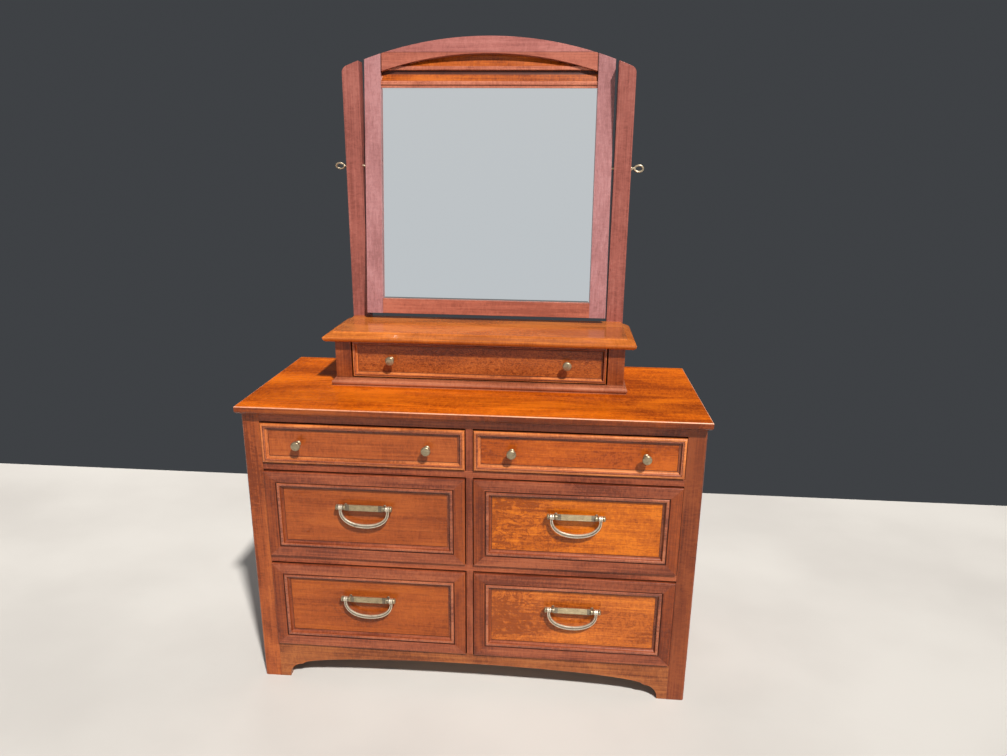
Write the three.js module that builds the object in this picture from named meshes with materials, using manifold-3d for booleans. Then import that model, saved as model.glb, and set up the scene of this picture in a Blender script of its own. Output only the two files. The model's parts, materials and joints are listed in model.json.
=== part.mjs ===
// Dresser with a tilting mirror, in millimetres, +Z up, the drawers facing -Y.
// A six-drawer case carries a deck box with one drawer, and two posts hold the arched mirror.
import * as THREE from 'three';
import { mergeVertices } from 'three/addons/utils/BufferGeometryUtils.js';
import Module from 'manifold-3d';

// Case and its top
const caseWidth = 1212;
const caseDepth = 480;
const postFace = 48;
const postDepth = 40;
const postRounding = 6;
const topThickness = 22;
const topFrontOverhang = 24;
const topSideOverhang = 7;
const topBackOverhang = 3;
const topOvolo = 8;
const topQuirk = 1;
const topFillet = 2;
const topEdge = 12;
const topArris = 1.5;
const topRailHeight = 25;
const railHeight = 19;
const dividerWidth = 19;
const upperOpening = 118;
const middleOpening = 259;
const lowerOpening = 266;

// Dust frames, side panels, back and apron
const frameStile = 50;
const frameRail = 60;
const dustPanelRecess = 6;
const backPanelThickness = 6;
const backPanelSetback = 6;
const sidePanelThickness = 20;
const sidePanelSetback = 4;
const sideFieldRecess = 7;
const sideTopRail = 70;
const sideBottomRail = 80;
const sideClearance = 75;
const apronHeight = 112;
const apronThickness = 20;
const apronFoot = 28;
const apronHeel = 5;
const apronRound = 38;
const apronArch = 35;

// Drawers of the case
const frontThickness = 20;
const frontProud = 8;
const frontGap = 2;
const frontFoot = 3;
const frontArris = 2.5;
const panelRecess = 9;
const wideFrame = 32;
const narrowFrame = 6;
const deckFrame = 3;
const beadQuirk = 1.5;
const beadQuirkDepth = 2;
const beadWidth = 4;
const beadProud = 1.25;
const coveWidth = 8;
const coveShare = 0.66;
const boxInset = 10;
const boxBackClearance = 26;
const boxWall = 12;
const boxFloor = 8;
const boxHeadroom = 12;
const runnerClearance = 0.5;

// Turned knobs and their screws
const knobSpread = 345;
const knobRadius = 12.7;
const knobProjection = 28;
const knobRose = 7.5;
const knobRoseThickness = 3.5;
const knobNeck = 4.2;
const screwRadius = 2.2;
const screwHeadRadius = 4.5;
const screwHeadThickness = 2.5;
const screwClearance = 0.3;
const seatGap = 0.3;

// Bail pulls
const pullRise = 34;
const pullStandoff = 15.5;
const barLength = 100;
const barHeight = 17;
const barThickness = 5;
const reedDepth = 1.2;
const reedCount = 5;
const collarRadius = 8;
const collarWidth = 7;
const pinRadius = 3;
const pinLength = 14;
const finialRadius = 8;
const finialLength = 6.5;
const pillarRadius = 3.6;
const pillarRose = 5;
const pillarRoseThickness = 2;
const bailDrop = 54;
const bailWidth = 9;
const bailThickness = 6;
const bailGroove = 1;
const bailFlatShare = 0.6;
const eyeWall = 4.2;
const eyePlay = 1.2;
const eyeClearance = 0.4;

// Deck box on the case
const deckWidth = 813;
const deckDepth = 224;
const deckOpening = 107;
const deckStile = 45;
const deckStileDepth = 20;
const deckSideThickness = 18;
const deckBackThickness = 12;
const deckTopThickness = 27;
const deckTopFrontOverhang = 26;
const deckTopSideOverhang = 28;
const deckTopNose = 13;
const deckTopUnderRound = 12;
const deckTopOgee = 25;
const deckTopFillet = 1.5;
const deckBaseThickness = 21;
const deckBaseFrontOverhang = 18;
const deckBaseSideOverhang = 10;
const deckBaseFoot = 2;
const deckBaseFootInset = 2;
const deckBaseTorus = 15;
const deckBaseTorusBulge = 6;
const deckBaseLedge = 8;
const deckFrontThickness = 18;
const deckFrontGap = 4;
const deckBoxClearance = 26;
const deckKnobSpread = 497;

// Mirror posts
const mirrorPostSetback = 7;
const mirrorPostWidth = 48;
const mirrorPostDepth = 45;
const mirrorPostRounding = 14;
const mirrorPostHeadDrop = 4;

// Mirror frame, in its own tilted plane, with heights counted from the pivots
const mirrorClearance = 13.5;
const mirrorTilt = 6.6;
const mirrorSetback = 8;
const pivotGap = 7;
const mirrorWidth = 717;
const mirrorThickness = 22;
const stileWidth = 47.5;
const archApex = 357;
const archRadius = 1060;
const archDepth = 46;
const bottomRailDrop = 431.5;
const bottomRailHeight = 43.5;
const crownFoot = 219;
const jointGap = 0.3;
const rabbetWidth = 8;
const rabbetFromFront = 9;
const glassThickness = 5;
const glassBevel = 13;
const glassBevelDepth = 1;
const backboardThickness = 6;
const backboardPlay = 0.5;

// Crown moulding below the arch: two lapped courses, each a nose with a sloping top
const crownBack = 20;
const crownLowerFace = 5;
const crownUpperFace = 7;
const crownLip = 7;
const crownLipSetback = 3;
const crownNose = 11;
const crownSlopeRise = 19;
const crownSlopeRun = 8;
const crownUndercut = 11;
const crownUpperSlopeRise = 17;

// Thumbscrews at the pivots
const boltRadius = 3;
const boltClearance = 0.35;
const boltInStile = 25;
const spacerRadius = 5;
const washerRadius = 6.5;
const washerThickness = 2.5;
const thumbNeckRadius = 5;
const thumbNeckLength = 7;
const thumbWaistShare = 0.75;
const ringLength = 30;
const ringHeight = 23;
const ringHoleShare = 0.46;
const ringThickness = 4.5;
const leftRingTurn = 30;

// Counts of flats on round work
const turnedSides = 12;
const pullSides = 10;
const boreSides = 8;
const mouldSteps = 4;
const archSteps = 20;
const bailSteps = 20;
const cutOverrun = 5;

// Levels and planes worked out from the sizes above
const caseHalf = caseWidth / 2;
const openingHalf = caseHalf - postFace;
const dividerHalf = dividerWidth / 2;
const lowerFrameBase = apronHeight + lowerOpening;
const middleBase = lowerFrameBase + railHeight;
const upperFrameBase = middleBase + middleOpening;
const upperBase = upperFrameBase + railHeight;
const topRailBase = upperBase + upperOpening;
const caseHeight = topRailBase + topRailHeight;
const slabHeight = caseHeight + topThickness;
const backPanelFront = caseDepth - backPanelSetback - backPanelThickness;
const deckHalf = deckWidth / 2;
const deckBack = caseDepth - mirrorPostSetback - mirrorPostDepth;
const deckFront = deckBack - deckDepth;
const deckFloor = slabHeight + deckBaseThickness;
const deckCeiling = deckFloor + deckOpening;
const deckHeight = deckCeiling + deckTopThickness;
const mirrorHalf = mirrorWidth / 2;
const mirrorPostInner = mirrorHalf + pivotGap;
const mirrorPostOuter = mirrorPostInner + mirrorPostWidth;
const sightHalf = mirrorHalf - stileWidth;
const sightFoot = bottomRailHeight - bottomRailDrop;
const pivotDepth = deckBack + mirrorSetback + mirrorThickness / 2;
const pivotHeight = deckHeight + mirrorClearance + bottomRailDrop;
const degree = Math.PI / 180;

// Finishes
function finish(color, roughness, metalness) {
  return new THREE.MeshStandardMaterial({ color, roughness, metalness });
}
const cherry = finish(0x8a3d1c, 0.35, 0);
const polishedTop = finish(0xb5561b, 0.28, 0);
const mirrorWood = finish(0x8c4430, 0.3, 0);
const drawerWood = finish(0xcfae7c, 0.6, 0);
const hardboard = finish(0x8a6a48, 0.8, 0);
const antiqueBrass = finish(0x9c9078, 0.35, 1);
const silvered = finish(0xd8dee2, 0.03, 1);

// Every piece goes into the group under its own name
const dresser = new THREE.Group();
function add(name, geometry, material, parent = dresser) {
  const piece = new THREE.Mesh(geometry, material);
  piece.name = name;
  parent.add(piece);
  return piece;
}

// A closed skin over a stack of rectangles, each { x: [low, high], y: [low, high], z }
function rectangleStack(levels) {
  const positions = [];
  const triangles = [];
  for (const { x, y, z } of levels) {
    positions.push(x[0], y[0], z, x[1], y[0], z, x[1], y[1], z, x[0], y[1], z);
  }
  const corners = [0, 1, 2, 3];
  triangles.push(0, 2, 1, 0, 3, 2);
  for (let level = 1; level < levels.length; level += 1) {
    const above = level * corners.length;
    const below = above - corners.length;
    for (const corner of corners) {
      const next = (corner + 1) % corners.length;
      triangles.push(below + corner, below + next, above + next);
      triangles.push(below + corner, above + next, above + corner);
    }
  }
  const last = (levels.length - 1) * corners.length;
  triangles.push(last, last + 1, last + 2, last, last + 2, last + 3);
  const geometry = new THREE.BufferGeometry();
  geometry.setAttribute('position', new THREE.Float32BufferAttribute(positions, 3));
  geometry.setIndex(triangles);
  geometry.computeVertexNormals();
  return geometry;
}

// A board between two corners
function board(x, y, z) {
  return rectangleStack([{ x, y, z: z[0] }, { x, y, z: z[1] }]);
}

// A slab whose front and side edges follow a moulding of [inset, height] steps
function mouldedSlab(x, y, base, steps) {
  return rectangleStack(steps.map(([inset, height]) => ({
    x: [x[0] + inset, x[1] - inset],
    y: [y[0] + inset, y[1]],
    z: base + height,
  })));
}

// A front board built outwards from its back, with mitred steps of [inset, depth of the face]
function framedFront(x, z, back, steps) {
  const geometry = rectangleStack(steps.map(([inset, face]) => ({
    x: [x[0] + inset, x[1] - inset],
    y: [z[0] + inset, z[1] - inset],
    z: back === face ? -back : -face,
  })));
  const positions = geometry.attributes.position;
  for (let index = 0; index < positions.count; index += 1) {
    positions.setXYZ(index, positions.getX(index), -positions.getZ(index), positions.getY(index));
  }
  geometry.computeVertexNormals();
  return geometry;
}

// An outline extruded along one axis, with both ends set exactly so that neighbours meet
function prism(outline, ends, toWorld) {
  const shape = outline instanceof THREE.Shape ? outline : new THREE.Shape(outline);
  const depth = ends[1] - ends[0];
  const geometry = new THREE.ExtrudeGeometry(shape, { depth, bevelEnabled: false, curveSegments: 8 });
  const positions = geometry.attributes.position;
  for (let index = 0; index < positions.count; index += 1) {
    const along = positions.getZ(index) > depth / 2 ? ends[1] : ends[0];
    const [x, y, z] = toWorld(positions.getX(index), positions.getY(index), along);
    positions.setXYZ(index, x, y, z);
  }
  geometry.computeVertexNormals();
  return geometry;
}
const point = (u, v) => new THREE.Vector2(u, v);
const alongX = (outline, ends) => prism(outline, ends, (u, v, along) => [along, u, v]);
const alongY = (outline, ends) => prism(outline, [-ends[1], -ends[0]], (u, v, along) => [u, -along, v]);
const alongZ = (outline, ends) => prism(outline, ends, (u, v, along) => [u, v, along]);

// The same outline on the other side of the middle plane
function mirrored(outline) {
  return outline.map(({ x, y }) => point(-x, y)).reverse();
}

// Turned work: [radius, distance] pairs about an axis that leaves from a point
const outOfFront = new THREE.Vector3(0, -1, 0);
const toTheRight = new THREE.Vector3(1, 0, 0);
function turned(profile, start, direction, sides = turnedSides) {
  const geometry = new THREE.LatheGeometry(profile.map(([radius, along]) => point(radius, along)), sides);
  const up = new THREE.Vector3(0, 1, 0);
  geometry.applyQuaternion(new THREE.Quaternion().setFromUnitVectors(up, direction));
  return geometry.translate(...start);
}
function rod(radius, from, to, start, direction, sides = boreSides) {
  return turned([[0, from], [radius, from], [radius, to], [0, to]], start, direction, sides);
}

// Joining and cutting of closed meshes
const wasm = await Module();
wasm.setup();
function solid(geometry) {
  const bare = geometry.clone();
  bare.deleteAttribute('normal');
  bare.deleteAttribute('uv');
  const merged = mergeVertices(bare);
  return new wasm.Manifold(new wasm.Mesh({
    numProp: 3,
    vertProperties: merged.attributes.position.array,
    triVerts: new Uint32Array(merged.index.array),
  }));
}
function skin(body) {
  const mesh = body.getMesh();
  const geometry = new THREE.BufferGeometry();
  geometry.setAttribute('position', new THREE.BufferAttribute(mesh.vertProperties, 3));
  geometry.setIndex(new THREE.BufferAttribute(mesh.triVerts, 1));
  geometry.computeVertexNormals();
  return geometry;
}
function cut(geometry, ...tools) {
  return skin(tools.reduce((body, tool) => body.subtract(solid(tool)), solid(geometry)));
}
function join(...geometries) {
  return skin(geometries.map(solid).reduce((body, next) => body.add(next)));
}

// Moulding curves as [inset, height] steps
function quarterRound(from, to) {
  return Array.from({ length: mouldSteps + 1 }, (_, step) => {
    const angle = step / mouldSteps * 90 * degree;
    return [
      from[0] + (to[0] - from[0]) * Math.sin(angle),
      from[1] + (to[1] - from[1]) * (1 - Math.cos(angle)),
    ];
  });
}
function ogee(from, to) {
  return Array.from({ length: mouldSteps + 1 }, (_, step) => {
    const share = step / mouldSteps;
    const bend = (1 - Math.cos(share * 180 * degree)) / 2;
    return [from[0] + (to[0] - from[0]) * bend, from[1] + (to[1] - from[1]) * share];
  });
}
function torus(inset, from, to, bulge) {
  const count = mouldSteps * 2;
  return Array.from({ length: count + 1 }, (_, step) => {
    const angle = step / count * 180 * degree;
    return [
      inset - bulge * Math.sin(angle),
      (from + to) / 2 - (to - from) / 2 * Math.cos(angle),
    ];
  });
}

// Dresser top: a slab with an ovolo and a small fillet under its crisp edge
const topMouldDepth = topOvolo + topQuirk;
add('dresser_top', mouldedSlab(
  [-caseHalf - topSideOverhang, caseHalf + topSideOverhang],
  [-topFrontOverhang, caseDepth + topBackOverhang],
  caseHeight,
  [
    [topMouldDepth, 0],
    [topMouldDepth, topFillet],
    ...quarterRound([topOvolo, topFillet], [0, topThickness - topEdge]),
    [0, topThickness - topArris],
    [topArris, topThickness],
  ],
), polishedTop);

// Corner posts: the outer front arris is rounded, the rear posts are square
const frontPostOutline = new THREE.Shape();
frontPostOutline.moveTo(openingHalf, 0);
frontPostOutline.lineTo(caseHalf - postRounding, 0);
frontPostOutline.absarc(caseHalf - postRounding, postRounding, postRounding, -90 * degree, 0, false);
frontPostOutline.lineTo(caseHalf, postDepth);
frontPostOutline.lineTo(openingHalf, postDepth);
const frontPostPoints = frontPostOutline.getPoints(mouldSteps);
const postHeight = [0, caseHeight];
add('right_front_post', alongZ(frontPostPoints, postHeight), cherry);
add('left_front_post', alongZ(mirrored(frontPostPoints), postHeight), cherry);
const rearPost = [caseDepth - postDepth, caseDepth];
add('right_rear_post', board([openingHalf, caseHalf], rearPost, postHeight), cherry);
add('left_rear_post', board([-caseHalf, -openingHalf], rearPost, postHeight), cherry);

// Side panels: a field sunk between a top and a bottom rail, held between the posts
const sideFace = caseHalf - sidePanelSetback;
const sideField = sideFace - sideFieldRecess;
const sideInner = sideFace - sidePanelThickness;
const sideOutline = [
  point(sideInner, sideClearance),
  point(sideFace, sideClearance),
  point(sideFace, sideClearance + sideBottomRail),
  point(sideField, sideClearance + sideBottomRail + sideFieldRecess),
  point(sideField, caseHeight - sideTopRail - sideFieldRecess),
  point(sideFace, caseHeight - sideTopRail),
  point(sideFace, caseHeight),
  point(sideInner, caseHeight),
];
const betweenPosts = [postDepth, caseDepth - postDepth];
add('right_side_panel', alongY(sideOutline, betweenPosts), cherry);
add('left_side_panel', alongY(mirrored(sideOutline), betweenPosts), cherry);

// Dust frames: notched round the posts, with the rails between the drawers as their front edges
function dustFrame(name, front, base, thickness) {
  const levels = [base, base + thickness];
  const pockets = [];
  const bay = [dividerHalf + frameStile / 2, openingHalf - frameStile];
  for (const x of [bay, [-bay[1], -bay[0]]]) {
    const y = [front + frameRail, backPanelFront - frameRail];
    pockets.push(board(x, y, [levels[0] - cutOverrun, levels[0] + dustPanelRecess]));
    pockets.push(board(x, y, [levels[1] - dustPanelRecess, levels[1] + cutOverrun]));
  }
  const rightEdge = [
    point(openingHalf, front),
    point(openingHalf, postDepth),
    point(sideInner, postDepth),
    point(sideInner, caseDepth - postDepth),
    point(openingHalf, caseDepth - postDepth),
    point(openingHalf, backPanelFront),
  ];
  const leftEdge = rightEdge.map((corner) => point(-corner.x, corner.y)).reverse();
  add(name, cut(alongZ([...rightEdge, ...leftEdge], levels), ...pockets), cherry);
}
dustFrame('top_frame', 0, topRailBase, topRailHeight);
dustFrame('upper_drawer_frame', 0, upperFrameBase, railHeight);
dustFrame('lower_drawer_frame', 0, lowerFrameBase, railHeight);
dustFrame('bottom_frame', apronThickness, apronHeight - railHeight, railHeight);

// Dividers between the left and right drawers, one for each row
const dividerRows = [
  ['upper_divider', upperBase, upperOpening],
  ['middle_divider', middleBase, middleOpening],
  ['lower_divider', apronHeight, lowerOpening],
];
for (const [name, base, height] of dividerRows) {
  add(name, board([-dividerHalf, dividerHalf], [0, backPanelFront], [base, base + height]), cherry);
}

// Back panel, let in between the rear posts
add('back_panel', board(
  [-openingHalf, openingHalf],
  [backPanelFront, backPanelFront + backPanelThickness],
  [apronHeight - railHeight, caseHeight],
), hardboard);

// Apron: feet at its ends, a quarter round and a cusp, then one long flat arch
const footInner = openingHalf - apronFoot;
const cusp = footInner - apronRound;
const cuspHeight = apronHeel + apronRound;
const apronOutline = new THREE.Shape();
apronOutline.moveTo(-openingHalf, 0);
apronOutline.lineTo(-footInner, 0);
apronOutline.lineTo(-footInner, apronHeel);
apronOutline.absarc(-cusp, apronHeel, apronRound, 180 * degree, 90 * degree, true);
apronOutline.absellipse(0, cuspHeight, cusp, apronArch, 180 * degree, 0, true);
apronOutline.absarc(cusp, apronHeel, apronRound, 90 * degree, 0, true);
apronOutline.lineTo(footInner, 0);
apronOutline.lineTo(openingHalf, 0);
apronOutline.lineTo(openingHalf, apronHeight);
apronOutline.lineTo(-openingHalf, apronHeight);
add('apron', alongY(apronOutline, [0, apronThickness]), cherry);

// Turned knob with its screw: distances are counted outwards from the panel that it stands on
const knobShares = [
  [0.45, 0.58],
  [0.85, 0.66],
  [1, 0.8],
  [0.93, 0.92],
  [0.72, 0.985],
];
function knob(grip, seat) {
  const headFrom = -grip - screwClearance;
  return turned([
    [0, headFrom - screwHeadThickness],
    [screwHeadRadius, headFrom - screwHeadThickness],
    [screwHeadRadius, headFrom],
    [screwRadius, headFrom],
    [screwRadius, seatGap],
    [knobRose, seatGap],
    [knobRose, seatGap + knobRoseThickness / 2],
    [knobNeck, seatGap + knobRoseThickness],
    ...knobShares.map(([radius, along]) => [radius * knobRadius, along * knobProjection]),
    [0, knobProjection],
  ], seat, outOfFront);
}

// Pull bar: one turned rail with finials and collars, a reeded plate and two pillars with screws
const pillarPlace = (barLength + collarWidth) / 2;
const pinFrom = barLength / 2 + collarWidth;
const pinTo = pinFrom + pinLength;
const finialShares = [
  [0.7, 0],
  [1, 0.25],
  [0.9, 0.6],
  [0.5, 0.95],
];
function pullBar(grip, axis) {
  const half = [
    [collarRadius, barLength / 2],
    [collarRadius, pinFrom],
    [pinRadius, pinFrom],
    [pinRadius, pinTo],
    ...finialShares.map(([radius, along]) => [radius * finialRadius, pinTo + along * finialLength]),
    [0, pinTo + finialLength],
  ];
  const otherHalf = half.map(([radius, along]) => [radius, -along]).reverse();
  const rail = turned([...otherHalf, ...half], axis, toTheRight, pullSides);
  const reed = barHeight / reedCount;
  const face = axis[1] - barThickness / 2;
  const plate = [point(face + barThickness, axis[2] - barHeight / 2)];
  plate.push(point(face + barThickness, axis[2] + barHeight / 2));
  for (let index = 0; index < reedCount; index += 1) {
    const top = axis[2] + barHeight / 2 - index * reed;
    plate.push(point(face + reedDepth, top));
    plate.push(point(face, top - reed / 4));
    plate.push(point(face, top - reed * 3 / 4));
  }
  plate.push(point(face + reedDepth, axis[2] - barHeight / 2));
  const plateEnds = [axis[0] - barLength / 2, axis[0] + barLength / 2];
  const parts = [rail, alongX(plate, plateEnds)];
  for (const side of [-1, 1]) {
    const foot = [axis[0] + side * pillarPlace, axis[1] + pullStandoff, axis[2]];
    const headFrom = -grip - screwClearance;
    parts.push(turned([
      [0, headFrom - screwHeadThickness],
      [screwHeadRadius, headFrom - screwHeadThickness],
      [screwHeadRadius, headFrom],
      [screwRadius, headFrom],
      [screwRadius, seatGap],
      [pillarRose, seatGap],
      [pillarRadius, seatGap + pillarRoseThickness],
      [pillarRadius, pullStandoff],
      [0, pullStandoff],
    ], foot, outOfFront, boreSides));
  }
  return join(...parts);
}

// Bail: a grooved D-shaped loop with an eye at each end, hanging from the pins of the bar
const bailHalf = (pinFrom + pinTo) / 2;
const eyeBore = pinRadius + eyeClearance;
const eyeWidth = pinLength - eyePlay * 2;
const bailShares = [
  [1, 0.04],
  [1.08, 0.62],
  [0.66, 1],
  [0, 1],
];
function bail(axis) {
  const place = ([across, down], side) => new THREE.Vector3(
    axis[0] + side * across * bailHalf, axis[1], axis[2] - down * bailDrop,
  );
  const path = new THREE.CurvePath();
  path.add(new THREE.CubicBezierCurve3(...bailShares.map((share) => place(share, -1))));
  path.add(new THREE.CubicBezierCurve3(...bailShares.map((share) => place(share, 1)).reverse()));
  const points = path.curves.flatMap((curve, index) => curve.getPoints(bailSteps / 2).slice(index));
  const route = new THREE.CatmullRomCurve3(points);
  const half = [bailThickness / 2, bailWidth / 2];
  const flat = half.map((size) => size * bailFlatShare);
  const section = new THREE.Shape([
    point(-flat[0], -half[1]),
    point(flat[0], -half[1]),
    point(half[0], -flat[1]),
    point(half[0] - bailGroove, 0),
    point(half[0], flat[1]),
    point(flat[0], half[1]),
    point(-flat[0], half[1]),
    point(-half[0], flat[1]),
    point(-half[0] + bailGroove, 0),
    point(-half[0], -flat[1]),
  ]);
  const loop = new THREE.ExtrudeGeometry(section, {
    steps: bailSteps, extrudePath: route, bevelEnabled: false,
  });
  const parts = [loop];
  const bores = [];
  for (const side of [-1, 1]) {
    const centre = [axis[0] + side * bailHalf, axis[1], axis[2]];
    parts.push(rod(eyeBore + eyeWall, -eyeWidth / 2, eyeWidth / 2, centre, toTheRight, pullSides));
    bores.push(rod(eyeBore, -eyeWidth, eyeWidth, centre, toTheRight, pullSides));
  }
  return cut(join(...parts), ...bores);
}

// Steps of the drawer fronts, from the back face outwards and then in to the sunk panel
function frontSteps(face, thickness, frame) {
  const bead = frame + beadQuirk;
  const inner = bead + beadWidth;
  return [
    [0, face + thickness],
    [0, face + frontArris],
    [frontArris / 3, face + frontArris / 4],
    [frontArris, face],
    [frame, face],
    [frame + beadQuirk / 2, face + beadQuirkDepth],
    [bead, face - beadProud / 2],
    [bead + beadWidth / 3, face - beadProud],
    [inner, face],
    [inner + coveWidth / 3, face + panelRecess * coveShare],
    [inner + coveWidth, face + panelRecess],
  ];
}

// A drawer: framed front, box with four walls and a floor, and bores for the fixing screws
function drawer(name, x, z, face, sizes, fixings) {
  const { thickness, frame, inset, depth, headroom } = sizes;
  const frontZ = [z[0] + frontFoot, z[1] - frontGap];
  const front = framedFront(x, frontZ, face + thickness, frontSteps(face, thickness, frame));
  const boxX = [x[0] + inset, x[1] - inset];
  const boxY = [face + thickness, face + thickness + depth];
  const boxZ = [z[0] + runnerClearance, z[1] - headroom];
  const inside = { x: [boxX[0] + boxWall, boxX[1] - boxWall], y: [boxY[0] + boxWall, boxY[1] - boxWall] };
  const box = rectangleStack([
    { x: boxX, y: boxY, z: boxZ[0] },
    { x: boxX, y: boxY, z: boxZ[1] },
    { ...inside, z: boxZ[1] },
    { ...inside, z: boxZ[0] + boxFloor },
  ]);
  const bores = fixings.map(([across, up]) => rod(
    screwRadius + screwClearance, -boxWall - cutOverrun, thickness + cutOverrun,
    [across, face + thickness, up], outOfFront,
  ));
  add(`${name}_front`, cut(front, ...bores), cherry);
  add(`${name}_box`, cut(box, ...bores), drawerWood);
}

// Six drawers of the case, in three rows on two sides
const caseDrawer = {
  thickness: frontThickness,
  inset: boxInset,
  depth: backPanelFront - boxBackClearance - frontThickness + frontProud,
  headroom: boxHeadroom,
};
const grip = frontThickness - panelRecess + boxWall;
const panelPlane = panelRecess - frontProud;
const rows = [
  ['upper', upperBase, upperOpening, narrowFrame],
  ['middle', middleBase, middleOpening, wideFrame],
  ['lower', apronHeight, lowerOpening, wideFrame],
];
const sides = [['left', -1], ['right', 1]];
for (const [row, base, height, frame] of rows) {
  for (const [side, sign] of sides) {
    const reach = [dividerHalf + frontGap, openingHalf - frontGap];
    const x = sign > 0 ? reach : [-reach[1], -reach[0]];
    const centre = (x[0] + x[1]) / 2;
    const middle = base + (frontFoot + height - frontGap) / 2;
    const name = `${row}_${side}`;
    const z = [base, base + height];
    if (row === 'upper') {
      const places = [-1, 1].map((end) => [centre + end * knobSpread / 2, middle]);
      drawer(`${name}_drawer`, x, z, -frontProud, { ...caseDrawer, frame }, places);
      for (const [end, [across, up]] of [['left', places[0]], ['right', places[1]]]) {
        add(`${name}_knob_${end}`, knob(grip, [across, panelPlane, up]), antiqueBrass);
      }
    } else {
      const up = middle + pullRise;
      const places = [-1, 1].map((end) => [centre + end * pillarPlace, up]);
      drawer(`${name}_drawer`, x, z, -frontProud, { ...caseDrawer, frame }, places);
      const axis = [centre, panelPlane - pullStandoff, up];
      add(`${name}_pull_bar`, pullBar(grip, axis), antiqueBrass);
      add(`${name}_pull_bail`, bail(axis), antiqueBrass);
    }
  }
}

// Deck base: a board with a half-round edge, on which the deck drawer runs
const deckBaseInset = deckBaseTorusBulge;
add('deck_base_moulding', mouldedSlab(
  [-deckHalf - deckBaseSideOverhang, deckHalf + deckBaseSideOverhang],
  [deckFront - deckBaseFrontOverhang, deckBack],
  slabHeight,
  [
    [deckBaseFootInset, 0],
    [deckBaseFootInset, deckBaseFoot],
    ...torus(deckBaseInset, deckBaseFoot, deckBaseFoot + deckBaseTorus, deckBaseTorusBulge),
    [deckBaseLedge, deckBaseFoot + deckBaseTorus],
    [deckBaseLedge, deckBaseThickness],
  ],
), cherry);

// Deck sides: a stile at the front and a side board behind it, in one piece
const deckSideOutline = [
  point(deckHalf - deckStile, deckFront),
  point(deckHalf, deckFront),
  point(deckHalf, deckBack),
  point(deckHalf - deckSideThickness, deckBack),
  point(deckHalf - deckSideThickness, deckFront + deckStileDepth),
  point(deckHalf - deckStile, deckFront + deckStileDepth),
];
const deckLevels = [deckFloor, deckCeiling];
add('deck_right_side', alongZ(deckSideOutline, deckLevels), cherry);
add('deck_left_side', alongZ(mirrored(deckSideOutline), deckLevels), cherry);

// Deck back, between the side boards
const deckInnerHalf = deckHalf - deckSideThickness;
add('deck_back', board([-deckInnerHalf, deckInnerHalf], [deckBack - deckBackThickness, deckBack], deckLevels),
  cherry);

// Deck top: rounded under the nose, an ogee above it and a small fillet round the flat
const deckTopInset = deckTopOgee + deckTopFillet / 2;
add('deck_top', mouldedSlab(
  [-deckHalf - deckTopSideOverhang, deckHalf + deckTopSideOverhang],
  [deckFront - deckTopFrontOverhang, deckBack],
  deckCeiling,
  [
    ...quarterRound([deckTopUnderRound, 0], [0, deckTopNose]),
    ...ogee([0, deckTopNose], [deckTopOgee, deckTopThickness - deckTopFillet]).slice(1),
    [deckTopInset, deckTopThickness - deckTopFillet],
    [deckTopInset, deckTopThickness],
  ],
), polishedTop);

// Deck drawer, flush with the stiles
const deckDrawerHalf = deckHalf - deckStile - deckFrontGap;
const deckMiddle = deckFloor + (frontFoot + deckOpening - frontGap) / 2;
const deckKnobs = [-1, 1].map((end) => [end * deckKnobSpread / 2, deckMiddle]);
const deckDrawer = {
  thickness: deckFrontThickness,
  inset: boxInset,
  depth: deckDepth - deckBackThickness - deckBoxClearance - deckFrontThickness,
  headroom: boxHeadroom,
  frame: deckFrame,
};
drawer('deck_drawer', [-deckDrawerHalf, deckDrawerHalf], deckLevels, deckFront, deckDrawer, deckKnobs);
const deckGrip = deckFrontThickness - panelRecess + boxWall;
for (const [end, [across, up]] of [['left', deckKnobs[0]], ['right', deckKnobs[1]]]) {
  add(`deck_knob_${end}`, knob(deckGrip, [across, deckFront + panelRecess, up]), antiqueBrass);
}

// Heights on the outer and the inner curve of the arch, at a distance from the middle
const archCentre = archApex - archRadius;
function archHeight(across, radius) {
  return archCentre + Math.sqrt(radius * radius - across * across);
}
function archPoints(from, to, radius, steps) {
  return Array.from({ length: steps + 1 }, (_, step) => {
    const across = from + (to - from) * step / steps;
    return point(across, archHeight(across, radius));
  });
}

// Mirror posts: they stand on the top behind the deck, and their heads follow the arch
const lean = mirrorTilt * degree;
const postCurveLift = pivotHeight - archApex * (1 - Math.cos(lean));
const postHead = (across) => postCurveLift - mirrorPostHeadDrop + archHeight(across, archRadius);
const postOutline = new THREE.Shape();
postOutline.moveTo(mirrorPostInner, slabHeight);
postOutline.lineTo(mirrorPostOuter, slabHeight);
postOutline.lineTo(mirrorPostOuter, postHead(mirrorPostOuter) - mirrorPostRounding);
postOutline.quadraticCurveTo(
  mirrorPostOuter, postHead(mirrorPostOuter),
  mirrorPostOuter - mirrorPostRounding, postHead(mirrorPostOuter - mirrorPostRounding),
);
postOutline.lineTo(mirrorPostInner, postHead(mirrorPostInner));
const postPoints = postOutline.getPoints(mouldSteps * 2);
const postY = [deckBack, deckBack + mirrorPostDepth];
const boltBore = boltRadius + boltClearance;
for (const [side, sign, outline] of [['left', -1, mirrored(postPoints)], ['right', 1, postPoints]]) {
  const bore = rod(boltBore, -mirrorPostWidth, mirrorPostWidth,
    [sign * (mirrorPostInner + mirrorPostWidth / 2), pivotDepth, pivotHeight], toTheRight);
  add(`mirror_post_${side}`, cut(alongY(outline, postY), bore), mirrorWood);
}

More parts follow.
